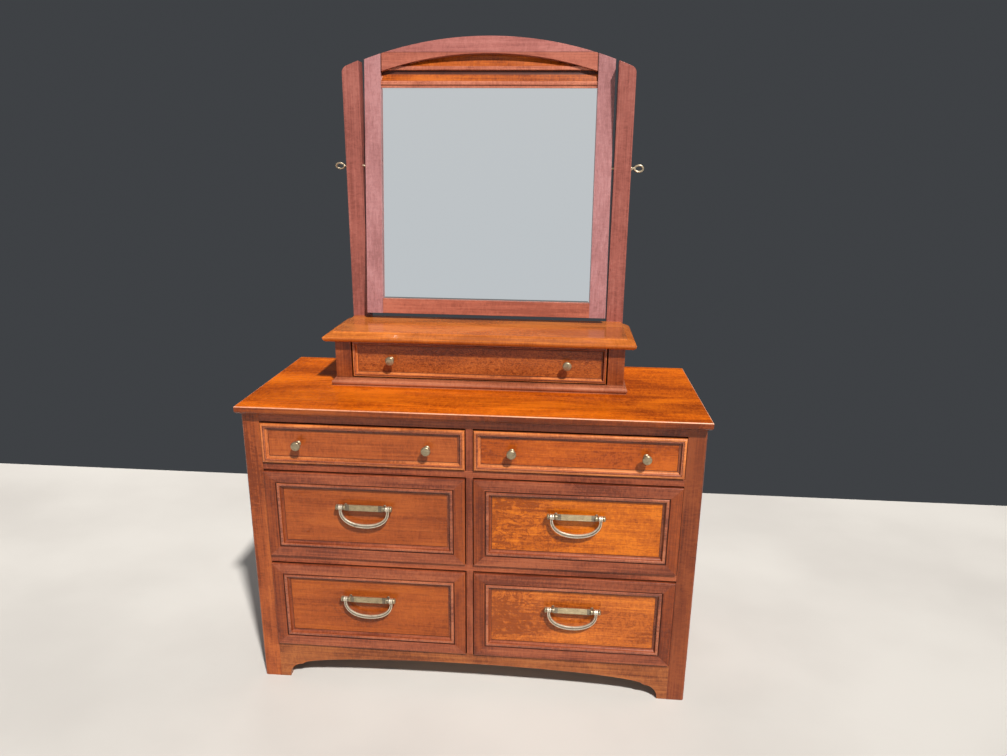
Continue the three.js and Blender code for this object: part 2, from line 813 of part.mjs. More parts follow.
// The mirror hangs in a group of its own, turned back about the pivots
const mirror = new THREE.Group();
mirror.position.set(0, pivotDepth, pivotHeight);
mirror.rotation.x = -lean;
dresser.add(mirror);
const faceY = -mirrorThickness / 2;
const frameY = [faceY, mirrorThickness / 2];
const rabbetHalf = sightHalf + rabbetWidth;
const rabbetZ = [sightFoot - rabbetWidth, crownFoot + rabbetWidth];
const rabbet = board([-rabbetHalf, rabbetHalf], [faceY + rabbetFromFront, mirrorThickness], rabbetZ);

// Stiles: full height, with a bore for the pivot bolt
const stileOutline = [
  point(mirrorHalf, -bottomRailDrop),
  ...archPoints(mirrorHalf, sightHalf, archRadius, mouldSteps),
  point(sightHalf, -bottomRailDrop),
];
const stileBore = rod(boltBore, mirrorHalf - boltInStile - cutOverrun, mirrorHalf + cutOverrun,
  [0, 0, 0], toTheRight);
const otherStileBore = rod(boltBore, -mirrorHalf - cutOverrun, boltInStile + cutOverrun - mirrorHalf,
  [0, 0, 0], toTheRight);
add('mirror_right_stile', cut(alongY(stileOutline, frameY), rabbet, stileBore), mirrorWood, mirror);
add('mirror_left_stile', cut(alongY(mirrored(stileOutline), frameY), rabbet, otherStileBore),
  mirrorWood, mirror);

// Arched top rail and straight bottom rail between the stiles
const railHalf = sightHalf - jointGap;
const archInner = archRadius - archDepth;
add('mirror_arch_rail', alongY([
  ...archPoints(railHalf, -railHalf, archRadius, archSteps),
  ...archPoints(-railHalf, railHalf, archInner, archSteps),
], frameY), mirrorWood, mirror);
add('mirror_bottom_rail', cut(board([-railHalf, railHalf], frameY, [-bottomRailDrop, sightFoot]), rabbet),
  mirrorWood, mirror);

// Crown moulding, coped to the underside of the arch
const lowerLip = crownFoot + crownLip;
const lowerNose = lowerLip + crownNose;
const lowerSlope = lowerNose + crownSlopeRise;
const upperFoot = lowerSlope + crownUndercut;
const upperNose = upperFoot + crownNose;
const upperSlope = upperNose + crownUpperSlopeRise;
const crownHead = archApex - archDepth;
const crownOutline = [
  [crownBack, crownFoot],
  [crownBack, crownHead],
  [crownUpperFace + crownSlopeRun, crownHead],
  [crownUpperFace + crownSlopeRun, upperSlope],
  [crownUpperFace, upperNose],
  [crownUpperFace, upperFoot],
  [crownLowerFace + crownSlopeRun, upperFoot],
  [crownLowerFace + crownSlopeRun, lowerSlope],
  [crownLowerFace, lowerNose],
  [crownLowerFace, lowerLip],
  [crownLowerFace + crownLipSetback, lowerLip],
  [crownLowerFace + crownLipSetback, crownFoot],
].map(([depth, height]) => point(faceY + depth, height));
const underArch = alongY([
  ...archPoints(-mirrorHalf, mirrorHalf, archInner - jointGap, archSteps),
  point(mirrorHalf, archApex),
  point(-mirrorHalf, archApex),
], [-mirrorThickness, mirrorThickness]);
add('mirror_crown_moulding', cut(alongX(crownOutline, [-railHalf, railHalf]), underArch, rabbet),
  mirrorWood, mirror);

// Bevelled glass and its backboard, in the rabbet
const glassHalf = rabbetHalf - backboardPlay;
const glassZ = [rabbetZ[0] + backboardPlay, rabbetZ[1] - backboardPlay];
const glassFace = faceY + rabbetFromFront + jointGap;
const glassBack = glassFace + glassThickness;
add('mirror_glass', framedFront([-glassHalf, glassHalf], glassZ, glassBack, [
  [0, glassBack],
  [0, glassFace + glassBevelDepth],
  [glassBevel, glassFace],
]), silvered, mirror);
const backboardY = [glassBack + jointGap, glassBack + jointGap + backboardThickness];
add('mirror_backboard', board([-glassHalf, glassHalf], backboardY, glassZ), hardboard, mirror);

// Thumbscrews: bolt, spacer in the gap, washer, neck and a ring to turn them by
const gapFrom = mirrorHalf + jointGap;
const gapTo = mirrorPostInner - jointGap;
const washerFrom = mirrorPostOuter + jointGap;
const washerTo = washerFrom + washerThickness;
const neckTo = washerTo + thumbNeckLength;
const ringMiddle = neckTo + ringLength / 2 - washerThickness / 2;
function thumbscrew() {
  const shaft = turned([
    [0, mirrorHalf - boltInStile],
    [boltRadius, mirrorHalf - boltInStile],
    [boltRadius, gapFrom],
    [spacerRadius, gapFrom],
    [spacerRadius, gapTo],
    [boltRadius, gapTo],
    [boltRadius, washerFrom],
    [washerRadius, washerFrom],
    [washerRadius, washerTo],
    [thumbNeckRadius, washerTo + washerThickness / 3],
    [thumbNeckRadius * thumbWaistShare, washerTo + thumbNeckLength / 2],
    [thumbNeckRadius, neckTo],
    [0, neckTo],
  ], [0, 0, 0], toTheRight);
  const outline = new THREE.Shape();
  outline.absellipse(ringMiddle, 0, ringLength / 2, ringHeight / 2, 0, 360 * degree, false);
  const hole = new THREE.Path();
  hole.absellipse(ringMiddle, 0, ringLength / 2 * ringHoleShare, ringHeight / 2 * ringHoleShare,
    0, 360 * degree, true);
  outline.holes.push(hole);
  return join(shaft, alongY(outline, [-ringThickness / 2, ringThickness / 2]));
}
const rightThumbscrew = add('thumbscrew_right', thumbscrew(), antiqueBrass);
const leftThumbscrew = add('thumbscrew_left', thumbscrew(), antiqueBrass);
leftThumbscrew.rotation.set(leftRingTurn * degree, 0, 180 * degree);
for (const screw of [rightThumbscrew, leftThumbscrew]) {
  screw.position.set(0, pivotDepth, pivotHeight);
}

// The origin is at floor level, in the middle of the box round the whole dresser
dresser.updateMatrixWorld(true);
const reach = new THREE.Box3().setFromObject(dresser, true);
const middle = reach.getCenter(new THREE.Vector3());
dresser.position.set(-middle.x, -middle.y, -reach.min.z);
dresser.updateMatrixWorld(true);

export default dresser;
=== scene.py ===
import json
import math

import bmesh
import bpy
from mathutils import Matrix, Vector


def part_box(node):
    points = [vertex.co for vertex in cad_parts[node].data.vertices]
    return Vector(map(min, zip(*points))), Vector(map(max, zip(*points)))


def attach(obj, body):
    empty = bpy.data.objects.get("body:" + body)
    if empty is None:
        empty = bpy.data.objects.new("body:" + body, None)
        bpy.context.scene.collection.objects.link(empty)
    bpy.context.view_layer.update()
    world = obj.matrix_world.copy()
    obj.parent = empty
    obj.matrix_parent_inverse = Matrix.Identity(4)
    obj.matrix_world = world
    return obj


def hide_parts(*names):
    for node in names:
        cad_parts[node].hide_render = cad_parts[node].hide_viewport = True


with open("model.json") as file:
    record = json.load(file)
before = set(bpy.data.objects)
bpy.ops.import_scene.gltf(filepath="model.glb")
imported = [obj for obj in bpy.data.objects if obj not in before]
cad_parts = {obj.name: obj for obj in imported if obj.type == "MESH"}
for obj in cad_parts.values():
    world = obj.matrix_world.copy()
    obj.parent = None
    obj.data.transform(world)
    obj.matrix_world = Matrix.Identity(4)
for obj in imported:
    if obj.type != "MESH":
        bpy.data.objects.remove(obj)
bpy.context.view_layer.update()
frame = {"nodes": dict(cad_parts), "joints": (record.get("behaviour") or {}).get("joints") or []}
nodes = frame["nodes"]

# Case posts. Four solid cherry posts carry the case and stand on the floor, the front two 48 mm
# wide with a rounded outer arris. They are stained a deep reddish brown, with the grain upright,
# and lacquered to a gloss that has rubbed thin along the corners.


def connect(socket, value):
    # a socket takes the result of another node, or else a plain value
    if isinstance(value, bpy.types.NodeSocket):
        socket.id_data.links.new(value, socket)
    else:
        socket.default_value = value


def feed(node, **inputs):
    # the names of the inputs have _ for each space
    for key, value in inputs.items():
        connect(node.inputs[key.replace("_", " ")], value)


def shade(tree, kind, settings=None, **inputs):
    made = tree.nodes.new("ShaderNode" + kind)
    for key, value in (settings or {}).items():
        setattr(made, key, value)
    feed(made, **inputs)
    return made


def blend_colours(tree, amount, under, over, how="MIX"):
    mixer = shade(tree, "Mix", {"data_type": "RGBA", "blend_type": how, "clamp_result": True})
    for slot, value in ((0, amount), (6, under), (7, over)):
        connect(mixer.inputs[slot], value)
    return mixer.outputs[2]


def sums(tree, how, first, second=0.0):
    made = shade(tree, "Math", {"operation": how})
    connect(made.inputs[0], first)
    connect(made.inputs[1], second)
    return made.outputs[0]


def weighted(tree, *parts):
    # parts are pairs of a pattern and its share in the whole
    whole = None
    for pattern, share in parts:
        portion = sums(tree, "MULTIPLY", pattern, share)
        whole = portion if whole is None else sums(tree, "ADD", whole, portion)
    return whole


def spread(tree, value, low, high, to_low=0.0, to_high=1.0):
    return shade(
        tree, "MapRange", {"clamp": True},
        Value=value, From_Min=low, From_Max=high, To_Min=to_low, To_Max=to_high,
    ).outputs[0]


def colour_steps(tree, value, stops):
    ramp = shade(tree, "ValToRGB", Fac=value)
    band = ramp.color_ramp
    band.interpolation = "EASE"
    while len(band.elements) < len(stops):
        band.elements.new(0.5)
    for element, (place, colour) in zip(band.elements, stops):
        element.position = place
        element.color = (*colour, 1)
    return ramp.outputs[0]


def rubbed_edges(tree, reach):
    # up to 1 within reach of an arris, and 0 on the flat
    rounded = shade(tree, "Bevel", {"samples": 4}, Radius=reach).outputs[0]
    meet = shade(tree, "VectorMath", {"operation": "DOT_PRODUCT"})
    connect(meet.inputs[0], rounded)
    connect(meet.inputs[1], shade(tree, "NewGeometry").outputs["Normal"])
    return spread(tree, sums(tree, "SUBTRACT", 1.0, meet.outputs["Value"]), 0.02, 0.22)


def empty_material(name):
    material = bpy.data.materials.new(name)
    material.use_nodes = True
    tree = material.node_tree
    tree.nodes.clear()
    surface = shade(tree, "BsdfPrincipled")
    shade(tree, "OutputMaterial", Surface=surface.outputs[0])
    return material, tree, surface


def own_place(tree):
    return shade(tree, "TexCoord").outputs["Object"]


def fibre(tree, along, long, wide, detail, roughness=0.6, twist=0.0, centre=(0, 0, 0)):
    # noise stretched along the grain: long and wide are the real size of its marks in metres
    size = [wide, wide, wide]
    size["XYZ".index(along)] = long
    scale = [1 / length for length in size]
    shifted = [-part * factor for part, factor in zip(centre, scale)]
    place = shade(tree, "Mapping", Vector=own_place(tree), Scale=scale, Location=shifted)
    return shade(
        tree, "TexNoise",
        Vector=place.outputs[0], Scale=1.0, Detail=detail, Roughness=roughness, Distortion=twist,
    ).outputs[0]


# the marks of each veneer figure: their length along the grain and their width in metres, and
# how finely they are broken up and twisted
figure_marks = {
    "curly": {"long": 0.0085, "wide": 0.045, "detail": 4, "roughness": 0.6, "twist": 1.2},
    "mottled": {"long": 0.03, "wide": 0.012, "detail": 5, "roughness": 0.65, "twist": 1.8},
    "speckled": {"long": 0.0075, "wide": 0.0045, "detail": 3, "roughness": 0.6, "twist": 1.5},
}


def crotch_figure(tree, along, offset, centre):
    # speckle all over, and thin curling dark lines that fade out away from the centre
    figure_reach, clear_reach = 0.20, 0.05
    line_width, line_depth, swirl_level = 0.04, 0.42, 0.62
    speckle = fibre(
        tree, along, long=0.012, wide=0.0045, detail=4, roughness=0.65, twist=0.6, centre=offset
    )
    swirl = fibre(
        tree, along, long=0.055, wide=0.035, detail=2, roughness=0.5, twist=2.2, centre=offset
    )
    away = shade(tree, "VectorMath", {"operation": "DISTANCE"})
    connect(away.inputs[0], own_place(tree))
    connect(away.inputs[1], centre)
    nearness = spread(tree, away.outputs["Value"], figure_reach, clear_reach)
    from_line = sums(tree, "ABSOLUTE", sums(tree, "SUBTRACT", swirl, 0.5))
    lines = spread(tree, from_line, 0.0, line_width, to_low=line_depth, to_high=0.0)
    shadow = sums(tree, "ADD", lines, sums(tree, "SUBTRACT", swirl_level, swirl))
    return sums(tree, "SUBTRACT", speckle, sums(tree, "MULTIPLY", nearness, shadow))


def shades_of(tone, contrast):
    # a stain gains and loses more green and blue than red as it gets paler and darker
    deep = [part * (1 - loss * contrast) for part, loss in zip(tone, (1, 1.2, 1.25))]
    bright = [part * (1 + gain * contrast) for part, gain in zip(tone, (0.8, 1.25, 1.3))]
    return deep, bright


def stained_cherry(
    name, along, tone, contrast=0.45, figure=None, shift=0.0, gloss=0.3, sheen=0.3, coat=0.15,
    wear=0.5, centre=(0, 0, 0), figure_share=0.3,
):
    # along is the way of the grain, and shift moves its marks, so that like woods still differ
    material, tree, surface = empty_material(name)
    deep, bright = shades_of(tone, contrast)
    offset = [shift, shift * 0.7, shift * 1.3]

    def marks(**sizes):
        return fibre(tree, along, centre=offset, **sizes)

    growth = marks(long=0.3, wide=0.0048, detail=5, roughness=0.6, twist=0.3)
    cloud = marks(long=0.26, wide=0.09, detail=3, roughness=0.5, twist=0.7)
    curl = marks(long=0.0065, wide=0.017, detail=3, roughness=0.6, twist=0.9)
    pores = marks(long=0.022, wide=0.0011, detail=2, roughness=0.5)
    grain = weighted(tree, (growth, 0.36), (cloud, 0.4), (curl, 0.24))
    if figure:
        flame = figure == "flame"
        figured = (
            crotch_figure(tree, along, offset, centre) if flame else marks(**figure_marks[figure])
        )
        grain = weighted(tree, (grain, 1 - figure_share), (figured, figure_share))
    colour = colour_steps(tree, grain, [(0.42, deep), (0.5, tone), (0.58, bright)])

    pore_depth, pore_share = 0.62, 0.55
    open_pores = spread(tree, pores, 0.34, 0.5, to_low=pore_depth)
    pore_colour = shade(tree, "CombineColor", Red=open_pores, Green=open_pores, Blue=open_pores)
    colour = blend_colours(tree, pore_share, colour, pore_colour.outputs[0], "MULTIPLY")

    rubbed_reach, least_wear = 0.0016, 0.2
    patches = marks(long=0.05, wide=0.02, detail=4, roughness=0.7)
    patchy = spread(tree, patches, 0.35, 0.6, to_low=least_wear, to_high=wear)
    worn = sums(tree, "MULTIPLY", rubbed_edges(tree, rubbed_reach), patchy)
    rubbed = [min(1.0, part * 1.35 + 0.02) for part in bright]
    colour = blend_colours(tree, worn, colour, (*rubbed, 1))

    height = weighted(tree, (pores, 0.6), (growth, 0.4))
    feed(
        surface,
        Base_Color=colour,
        Roughness=spread(tree, cloud, 0.3, 0.7, to_low=gloss - 0.05, to_high=gloss + 0.08),
        Specular_IOR_Level=sheen,
        Coat_Weight=coat,
        Coat_Roughness=0.12,
        Normal=shade(tree, "Bump", Height=height, Strength=0.16, Distance=0.0006).outputs[0],
    )
    return material


def finish_node(name, material):
    for holder in nodes[name].material_slots:
        holder.link = "OBJECT"
        holder.material = material


def dress_node(name, material, ease=0.0009):
    # the CAD solid stays, gets its finish and has its arrises eased
    finish_node(name, material)
    piece = nodes[name]
    weld = piece.modifiers.new("joined_faces", "WELD")
    weld.merge_threshold = 0.00002
    eased = piece.modifiers.new("eased_arrises", "BEVEL")
    eased.width = ease
    eased.segments = 2
    eased.limit_method = "ANGLE"
    eased.angle_limit = math.radians(40)
    eased.harden_normals = True


left_post_wood = stained_cherry("post_cherry_upright", "Z", tone=(0.271, 0.056, 0.011))
right_post_wood = stained_cherry(
    "post_cherry_upright_right", "Z", tone=(0.164, 0.032, 0.008), shift=0.4
)
for end in ("front", "rear"):
    dress_node(f"left_{end}_post", left_post_wood)
    dress_node(f"right_{end}_post", right_post_wood)

# Side panels. Each side is a cherry panel let in between the posts, with a sunk field between a
# top and a bottom rail. The grain runs upright like the posts' and takes the same stain.
side_wood = stained_cherry(
    "side_panel_cherry", "Z", tone=(0.235, 0.046, 0.013), figure="mottled", shift=1.1, figure_share=0.18
)
dress_node("left_side_panel", side_wood)
dress_node("right_side_panel", side_wood)

# Drawer frames and dividers. Four glued frames run from front to back between the drawers, and
# three upright boards part the left drawers from the right ones. Their front edges are stained
# with the case. Behind that the wood is bare and pale, as stain is wiped on only where it shows.
bare_dark, bare_light = (0.36, 0.2, 0.09), (0.55, 0.36, 0.18)
stained_depth, stain_fade = 0.036, 0.006
stain_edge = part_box("left_front_post")[0].y + stained_depth


def stain_of(material):
    # the surface of a stained wood, and the colour that feeds it, for what goes over that
    tree = material.node_tree
    surface = next(node for node in tree.nodes if node.type == "BSDF_PRINCIPLED")
    return tree, surface, surface.inputs["Base Color"].links[0].from_socket


def edge_stained(name, along, tone):
    material = stained_cherry(name, along, tone, wear=0.35)
    tree, surface, stained = stain_of(material)
    bare_grain = fibre(tree, along, long=0.4, wide=0.012, detail=5)
    bare = colour_steps(tree, bare_grain, [(0.3, bare_dark), (0.7, bare_light)])
    depth = shade(tree, "SeparateXYZ", Vector=own_place(tree)).outputs["Y"]
    wobble = sums(tree, "MULTIPLY", fibre(tree, "Y", long=0.03, wide=0.02, detail=3), 0.02)
    wiped = sums(tree, "SUBTRACT", depth, wobble)
    behind = spread(tree, wiped, stain_edge, stain_edge + stain_fade)
    feed(surface, Base_Color=blend_colours(tree, behind, stained, bare))
    return material


rail_wood = edge_stained("rail_cherry", "X", tone=(0.25, 0.055, 0.02))
divider_wood = edge_stained("divider_cherry", "Z", tone=(0.22, 0.048, 0.018))
for rail in ("top_frame", "upper_drawer_frame", "lower_drawer_frame", "bottom_frame"):
    dress_node(rail, rail_wood)
for divider in ("upper_divider", "middle_divider", "lower_divider"):
    dress_node(divider, divider_wood)

# Back panel. A thin sheet of brown hardboard closes the back. It is pinned between the rear
# posts and left unfinished, so it shows its fibres and a dull, uneven face.


def pressed_board(name, dark, light):
    material, tree, surface = empty_material(name)
    fibres = fibre(tree, "X", long=0.004, wide=0.0012, detail=6, roughness=0.75, twist=1.5)
    blotches = fibre(tree, "X", long=0.2, wide=0.15, detail=4, roughness=0.5)
    mixed = weighted(tree, (fibres, 0.6), (blotches, 0.4))
    feed(
        surface,
        Base_Color=colour_steps(tree, mixed, [(0.3, dark), (0.7, light)]),
        Roughness=spread(tree, fibres, 0.3, 0.7, to_low=0.68, to_high=0.86),
        Normal=shade(tree, "Bump", Height=fibres, Strength=0.3, Distance=0.0004).outputs[0],
    )
    return material


sheet_ease = 0.0005
hardboard = pressed_board("brown_hardboard", dark=(0.16, 0.085, 0.04), light=(0.3, 0.18, 0.09))
dress_node("back_panel", hardboard, sheet_ease)

# Apron. One cherry board under the lowest rail, sawn to a long flat arch between two feet, with
# a quarter round and a small cusp at each end. Its grain runs across the case.
soft_ease = 0.0012
apron_wood = stained_cherry("apron_cherry", "X", tone=(0.243, 0.064, 0.016), shift=2.3)
dress_node("apron", apron_wood, soft_ease)

# Dresser top. A slab of glued cherry boards screwed down on the case, its grain from end to end.
# The front and both ends are moulded: a crisp arris, a narrow face, then an ovolo and a small
# fillet below. It is stained a brighter orange brown than the case.


def one_finish(step, side):
    return 0


def loft(work, rings, finish_of=one_finish, capped=True):
    # skins the rings in their order; for finish_of the caps are step -1 and a step past the last
    rows = [[work.verts.new(spot) for spot in ring] for ring in rings]
    count = len(rows[0])
    for step in range(len(rows) - 1):
        for side in range(count):
            after = (side + 1) % count
            face = work.faces.new(
                (rows[step][side], rows[step][after], rows[step + 1][after], rows[step + 1][side])
            )
            face.material_index = finish_of(step, side)
    if capped:
        work.faces.new(list(reversed(rows[0]))).material_index = finish_of(-1, 0)
        work.faces.new(rows[-1]).material_index = finish_of(len(rows), 0)


def make_piece(work, name, node, body, finishes, crisp=32):
    # the mesh becomes a piece that stands for the node; crisp is the angle that stays sharp
    bmesh.ops.remove_doubles(work, verts=work.verts, dist=0.000001)
    bmesh.ops.recalc_face_normals(work, faces=work.faces)
    mesh = bpy.data.meshes.new(name)
    work.to_mesh(mesh)
    work.free()
    for finish in finishes:
        mesh.materials.append(finish)
    mesh.shade_smooth()
    mesh.set_sharp_from_angle(angle=math.radians(crisp))
    piece = bpy.data.objects.new(name, mesh)
    bpy.context.scene.collection.objects.link(piece)
    even = piece.modifiers.new("even_faces", "WEIGHTED_NORMAL")
    even.keep_sharp = True
    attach(piece, body)
    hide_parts(node)


def quarter_round(start, end, count=10, level_first=True):
    # a quarter arc of [inset, height] points; it sets off along the inset, or else the height
    made = []
    for step in range(count + 1):
        turn = step / count * math.pi / 2
        early, late = math.sin(turn), 1 - math.cos(turn)
        inwards, upwards = (early, late) if level_first else (late, early)
        made.append((
            start[0] + (end[0] - start[0]) * inwards,
            start[1] + (end[1] - start[1]) * upwards,
        ))
    return made


def moulded_slab(name, node, profile, finishes, finish_of=one_finish, crisp=32):
    # the profile runs round the front and both ends, and the back is square
    low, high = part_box(node)
    rings = [
        [
            (low.x + inset, low.y + inset, low.z + height),
            (high.x - inset, low.y + inset, low.z + height),
            (high.x - inset, high.y, low.z + height),
            (low.x + inset, high.y, low.z + height),
        ]
        for inset, height in profile
    ]
    work = bmesh.new()
    loft(work, rings, finish_of)
    make_piece(work, name, node, "case", finishes, crisp)


def glued_boards(name, tone, board_width, shift=0.0, coat=0.05, contrast=0.42):
    # each board takes the stain a little paler or darker than the next
    seam_offset = 3.0
    darkest, palest = 0.82, 1.14
    material = stained_cherry(name, "X", tone, contrast, shift=shift, gloss=0.24, sheen=0.12, coat=coat)
    tree, surface, stained = stain_of(material)
    across = shade(tree, "SeparateXYZ", Vector=own_place(tree)).outputs["Y"]
    boards = sums(tree, "DIVIDE", sums(tree, "ADD", across, seam_offset), board_width)
    number = sums(tree, "FLOOR", boards)
    chance = shade(tree, "TexWhiteNoise", {"noise_dimensions": "1D"}, W=number).outputs["Value"]
    brightness = spread(tree, chance, 0.0, 1.0, to_low=darkest, to_high=palest)
    feed(surface, Base_Color=shade(tree, "HueSaturation", Color=stained, Value=brightness).outputs[0])
    return material


top_wood = glued_boards("top_cherry_boards", tone=(0.496, 0.091, 0.002), board_width=0.085)
edge_wood = stained_cherry("top_edge_cherry", "X", tone=(0.208, 0.039, 0.005), shift=3.0)
# the upper arris is painted pale, a painted highlight along it
arris_highlight_wood = stained_cherry(
    "painted_highlight_arris_cherry", "X", tone=(0.66, 0.29, 0.17), contrast=0.3, shift=3.6, gloss=0.2,
    sheen=0.5, coat=0.5,
)
top_low, top_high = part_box("dresser_top")
top_thickness = top_high.z - top_low.z
top_recess, top_fillet, top_ovolo, top_arris = 0.009, 0.002, 0.008, 0.0022
top_profile = [(top_recess, 0.0), (top_recess, top_fillet)]
top_profile += quarter_round((top_ovolo, top_fillet), (0.0, top_fillet + top_ovolo))
arris_from = len(top_profile)
top_profile += quarter_round(
    (0.0, top_thickness - top_arris), (top_arris, top_thickness), count=4, level_first=False
)
BOARDS, EDGE, ARRIS = range(3)


def top_finish(step, side):
    if step < 0 or step >= len(top_profile):
        return BOARDS
    return EDGE if step < arris_from else ARRIS


moulded_slab(
    "moulded_dresser_top", "dresser_top", top_profile, [top_wood, edge_wood, arris_highlight_wood],
    top_finish,
)

# Drawer fronts. Each is a mitred cherry frame round a sunk veneered panel. The frame's outer
# arris is eased; at its inner edge run a dark quirk, a proud bead, and a cove down to the panel.
# The quirk's dark, the cove's top and right sides and the edges in the gaps round each front are
# painted shade. The two upper drawers and the deck's have only a narrow lip outside the bead.
upper_drawers = ("upper_left", "upper_right")
deep_drawers = ("middle_left", "middle_right", "lower_left", "lower_right")

# border is the flat outside the mouldings; foot and crest say how far behind the face the bead
# starts and how far it comes forward, which is past the face where crest is below 0
narrow_lip = {
    "border": 0.0070, "arris": 0.0060, "quirk": 0.0006, "bead": 0.0045, "cove": 0.0075,
    "foot": 0.0030, "crest": 0.0008,
}
wide_frame = {
    "border": 0.030, "arris": 0.0025, "quirk": 0.0032, "bead": 0.0080, "cove": 0.0080,
    "foot": 0.0012, "crest": -0.00125,
}
front_thickness, panel_recess = 0.020, 0.009
face_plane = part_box("middle_left_drawer_front")[0].y - wide_frame["crest"]
panel_plane = face_plane + panel_recess
upper_front_gap, deep_front_gap = 0.0018, 0.0008

level_wood = stained_cherry("drawer_frame_cherry", "X", tone=(0.232, 0.052, 0.019), shift=4.0, coat=0.3)
upright_wood = stained_cherry(
    "drawer_frame_cherry_upright", "Z", tone=(0.200, 0.035, 0.005), shift=4.6, coat=0.3
)
lip_wood = stained_cherry("drawer_lip_cherry", "X", tone=(0.40, 0.108, 0.026), shift=5.1, coat=0.5)
# the level and the upright lips are one wood; the uprights are painted paler, as painted light
lit_lip_wood_upright = stained_cherry(
    "drawer_lip_cherry_upright_painted_light", "Z", tone=(0.48, 0.125, 0.028), shift=5.7, coat=0.4
)
# the cove's top and right sides are painted dark with this, a painted shade
shaded_cove_wood = stained_cherry("painted_shade_cove_cherry", "X", tone=(0.16, 0.034, 0.011), shift=5.9, coat=0.3)
# the quirks and the gaps round the fronts are painted dark with this, a painted shade
quirk_shadow = stained_cherry(
    "painted_shade_in_the_quirk", "X", tone=(0.07, 0.014, 0.006), shift=6.2, gloss=0.4, coat=0.0, wear=0.1
)
bead_wood = stained_cherry(
    "bead_cherry", "X", tone=(0.27, 0.066, 0.024), shift=6.8, gloss=0.22, sheen=0.5, coat=0.5, wear=0.3
)
LEVEL, UPRIGHT, PAINTED_SHADE, BEAD, PANEL, COVE = range(6)

# the sides of a front go round from the bottom, and the fourth is the left one
BOTTOM, RIGHT, TOP = range(3)


def half_round(start, end, bulge, count):
    # a half arc of two measures from start to end, standing out by bulge at its middle
    made = []
    for step in range(count + 1):
        turn = step / count * math.pi
        along, out = (1 - math.cos(turn)) / 2, math.sin(turn)
        made.append((
            start[0] + (end[0] - start[0]) * along + bulge[0] * out,
            start[1] + (end[1] - start[1]) * along + bulge[1] * out,
        ))
    return made


def front_profile(face, thickness, border, arris, quirk, bead, cove, foot, crest):
    # points of [inset, depth, finish] from the back, round the edge and over the mouldings
    shown_edge = 0.0062
    seam_width, fillet_width, fillet_height, seam_height = 0.0010, 0.0012, 0.0014, 0.0004
    arris_depth, quirk_depth = arris * 0.85, quirk * 0.8
    panel = face + panel_recess
    # a quirk this fine is stained with the bead; a wider one is painted dark, as painted shade
    fine_quirk = 0.001
    quirk_finish = PAINTED_SHADE if quirk > fine_quirk else BEAD
    bead_end = border + quirk + bead
    cove_end = bead_end + cove
    rounding = quarter_round((0.0, face + arris_depth), (arris, face), count=7, level_first=False)
    beading = half_round(
        (border + quirk, face + foot), (bead_end, face + foot), bulge=(0.0, crest - foot), count=10
    )
    hollow = quarter_round(
        (bead_end, face + foot), (cove_end - seam_width - fillet_width, panel - fillet_height),
        count=8, level_first=False,
    )
    steps = [(0.0, face + thickness, PAINTED_SHADE), (0.0, face + shown_edge, PAINTED_SHADE)]
    steps += [(*spot, LEVEL) for spot in rounding]
    steps.append((border, face, LEVEL))
    steps += [(border + quirk * share, face + quirk_depth, quirk_finish) for share in (0.3, 0.7)]
    steps.append((*beading[0], quirk_finish))
    steps += [(*spot, BEAD) for spot in beading[1:]]
    steps += [(*spot, COVE) for spot in hollow[1:]]
    steps.append((cove_end - seam_width, panel - fillet_height, COVE))
    steps.append((cove_end - seam_width, panel - seam_height, PAINTED_SHADE))
    steps.append((cove_end, panel, PAINTED_SHADE))
    return steps


def framed_drawer_front(place, moulding, thickness, face, panel, level, upright, top_gap=0.0):
    # top_gap is how much lower the upper edge lies than the solid's, which has room above it
    node = place + "_drawer_front"
    low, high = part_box(node)
    high.z -= top_gap
    steps = front_profile(face, thickness, **moulding)

    def finish_of(step, side):
        if step >= len(steps):
            return PANEL
        # the back and the edges of the front are painted dark, a painted shade in the gaps, all but the
        # lit front of the top edge
        if step < 2:
            return LEVEL if step == 1 and side == TOP else PAINTED_SHADE
        part = steps[step + 1][2]
        # the cove is painted dark on its right and top sides, a painted shade, and takes the frame's wood
        # on the bottom and the left
        if part in (PAINTED_SHADE, BEAD) or part == COVE and side in (RIGHT, TOP):
            return part
        return LEVEL if side in (BOTTOM, TOP) else UPRIGHT

    rings = [
        [
            (low.x + inset, depth, low.z + inset),
            (high.x - inset, depth, low.z + inset),
            (high.x - inset, depth, high.z - inset),
            (low.x + inset, depth, high.z - inset),
        ]
        for inset, depth, _ in steps
    ]
    work = bmesh.new()
    loft(work, rings, finish_of)
    finishes = [level, upright, quirk_shadow, bead_wood, panel, shaded_cove_wood]
    make_piece(work, place + "_drawer_framed_front", node, place + "_drawer", finishes)


def panel_veneer(name, tone, contrast, figure, figure_share, shift, centre=(0, 0, 0)):
    return stained_cherry(
        "panel_veneer_" + name, "X", tone, contrast, figure, shift, wear=0.0, centre=centre,
        figure_share=figure_share,
    )


# the dark crotch figure of the two deep right fronts is strongest near the dividers
middle_crotch, lower_crotch = (0.10, -0.235, 0.53), (0.09, -0.235, 0.25)
panels = {
    "middle_left": panel_veneer("even", (0.274, 0.056, 0.009), 0.3, "mottled", 0.12, shift=7.5),
    "lower_left": panel_veneer("even_low", (0.284, 0.057, 0.007), 0.32, "mottled", 0.15, shift=8.3),
    "upper_left": panel_veneer("upper_left", (0.312, 0.066, 0.012), 0.3, "curly", 0.15, shift=9.2),
    "upper_right": panel_veneer("upper_right", (0.357, 0.066, 0.004), 0.4, "mottled", 0.25, shift=10.4),
    "middle_right": panel_veneer(
        "flame", (0.438, 0.097, 0.004), 0.45, "flame", 0.24, shift=11.7, centre=middle_crotch
    ),
    "lower_right": panel_veneer(
        "flame_low", (0.435, 0.103, 0.012), 0.45, "flame", 0.24, shift=12.9, centre=lower_crotch
    ),
}
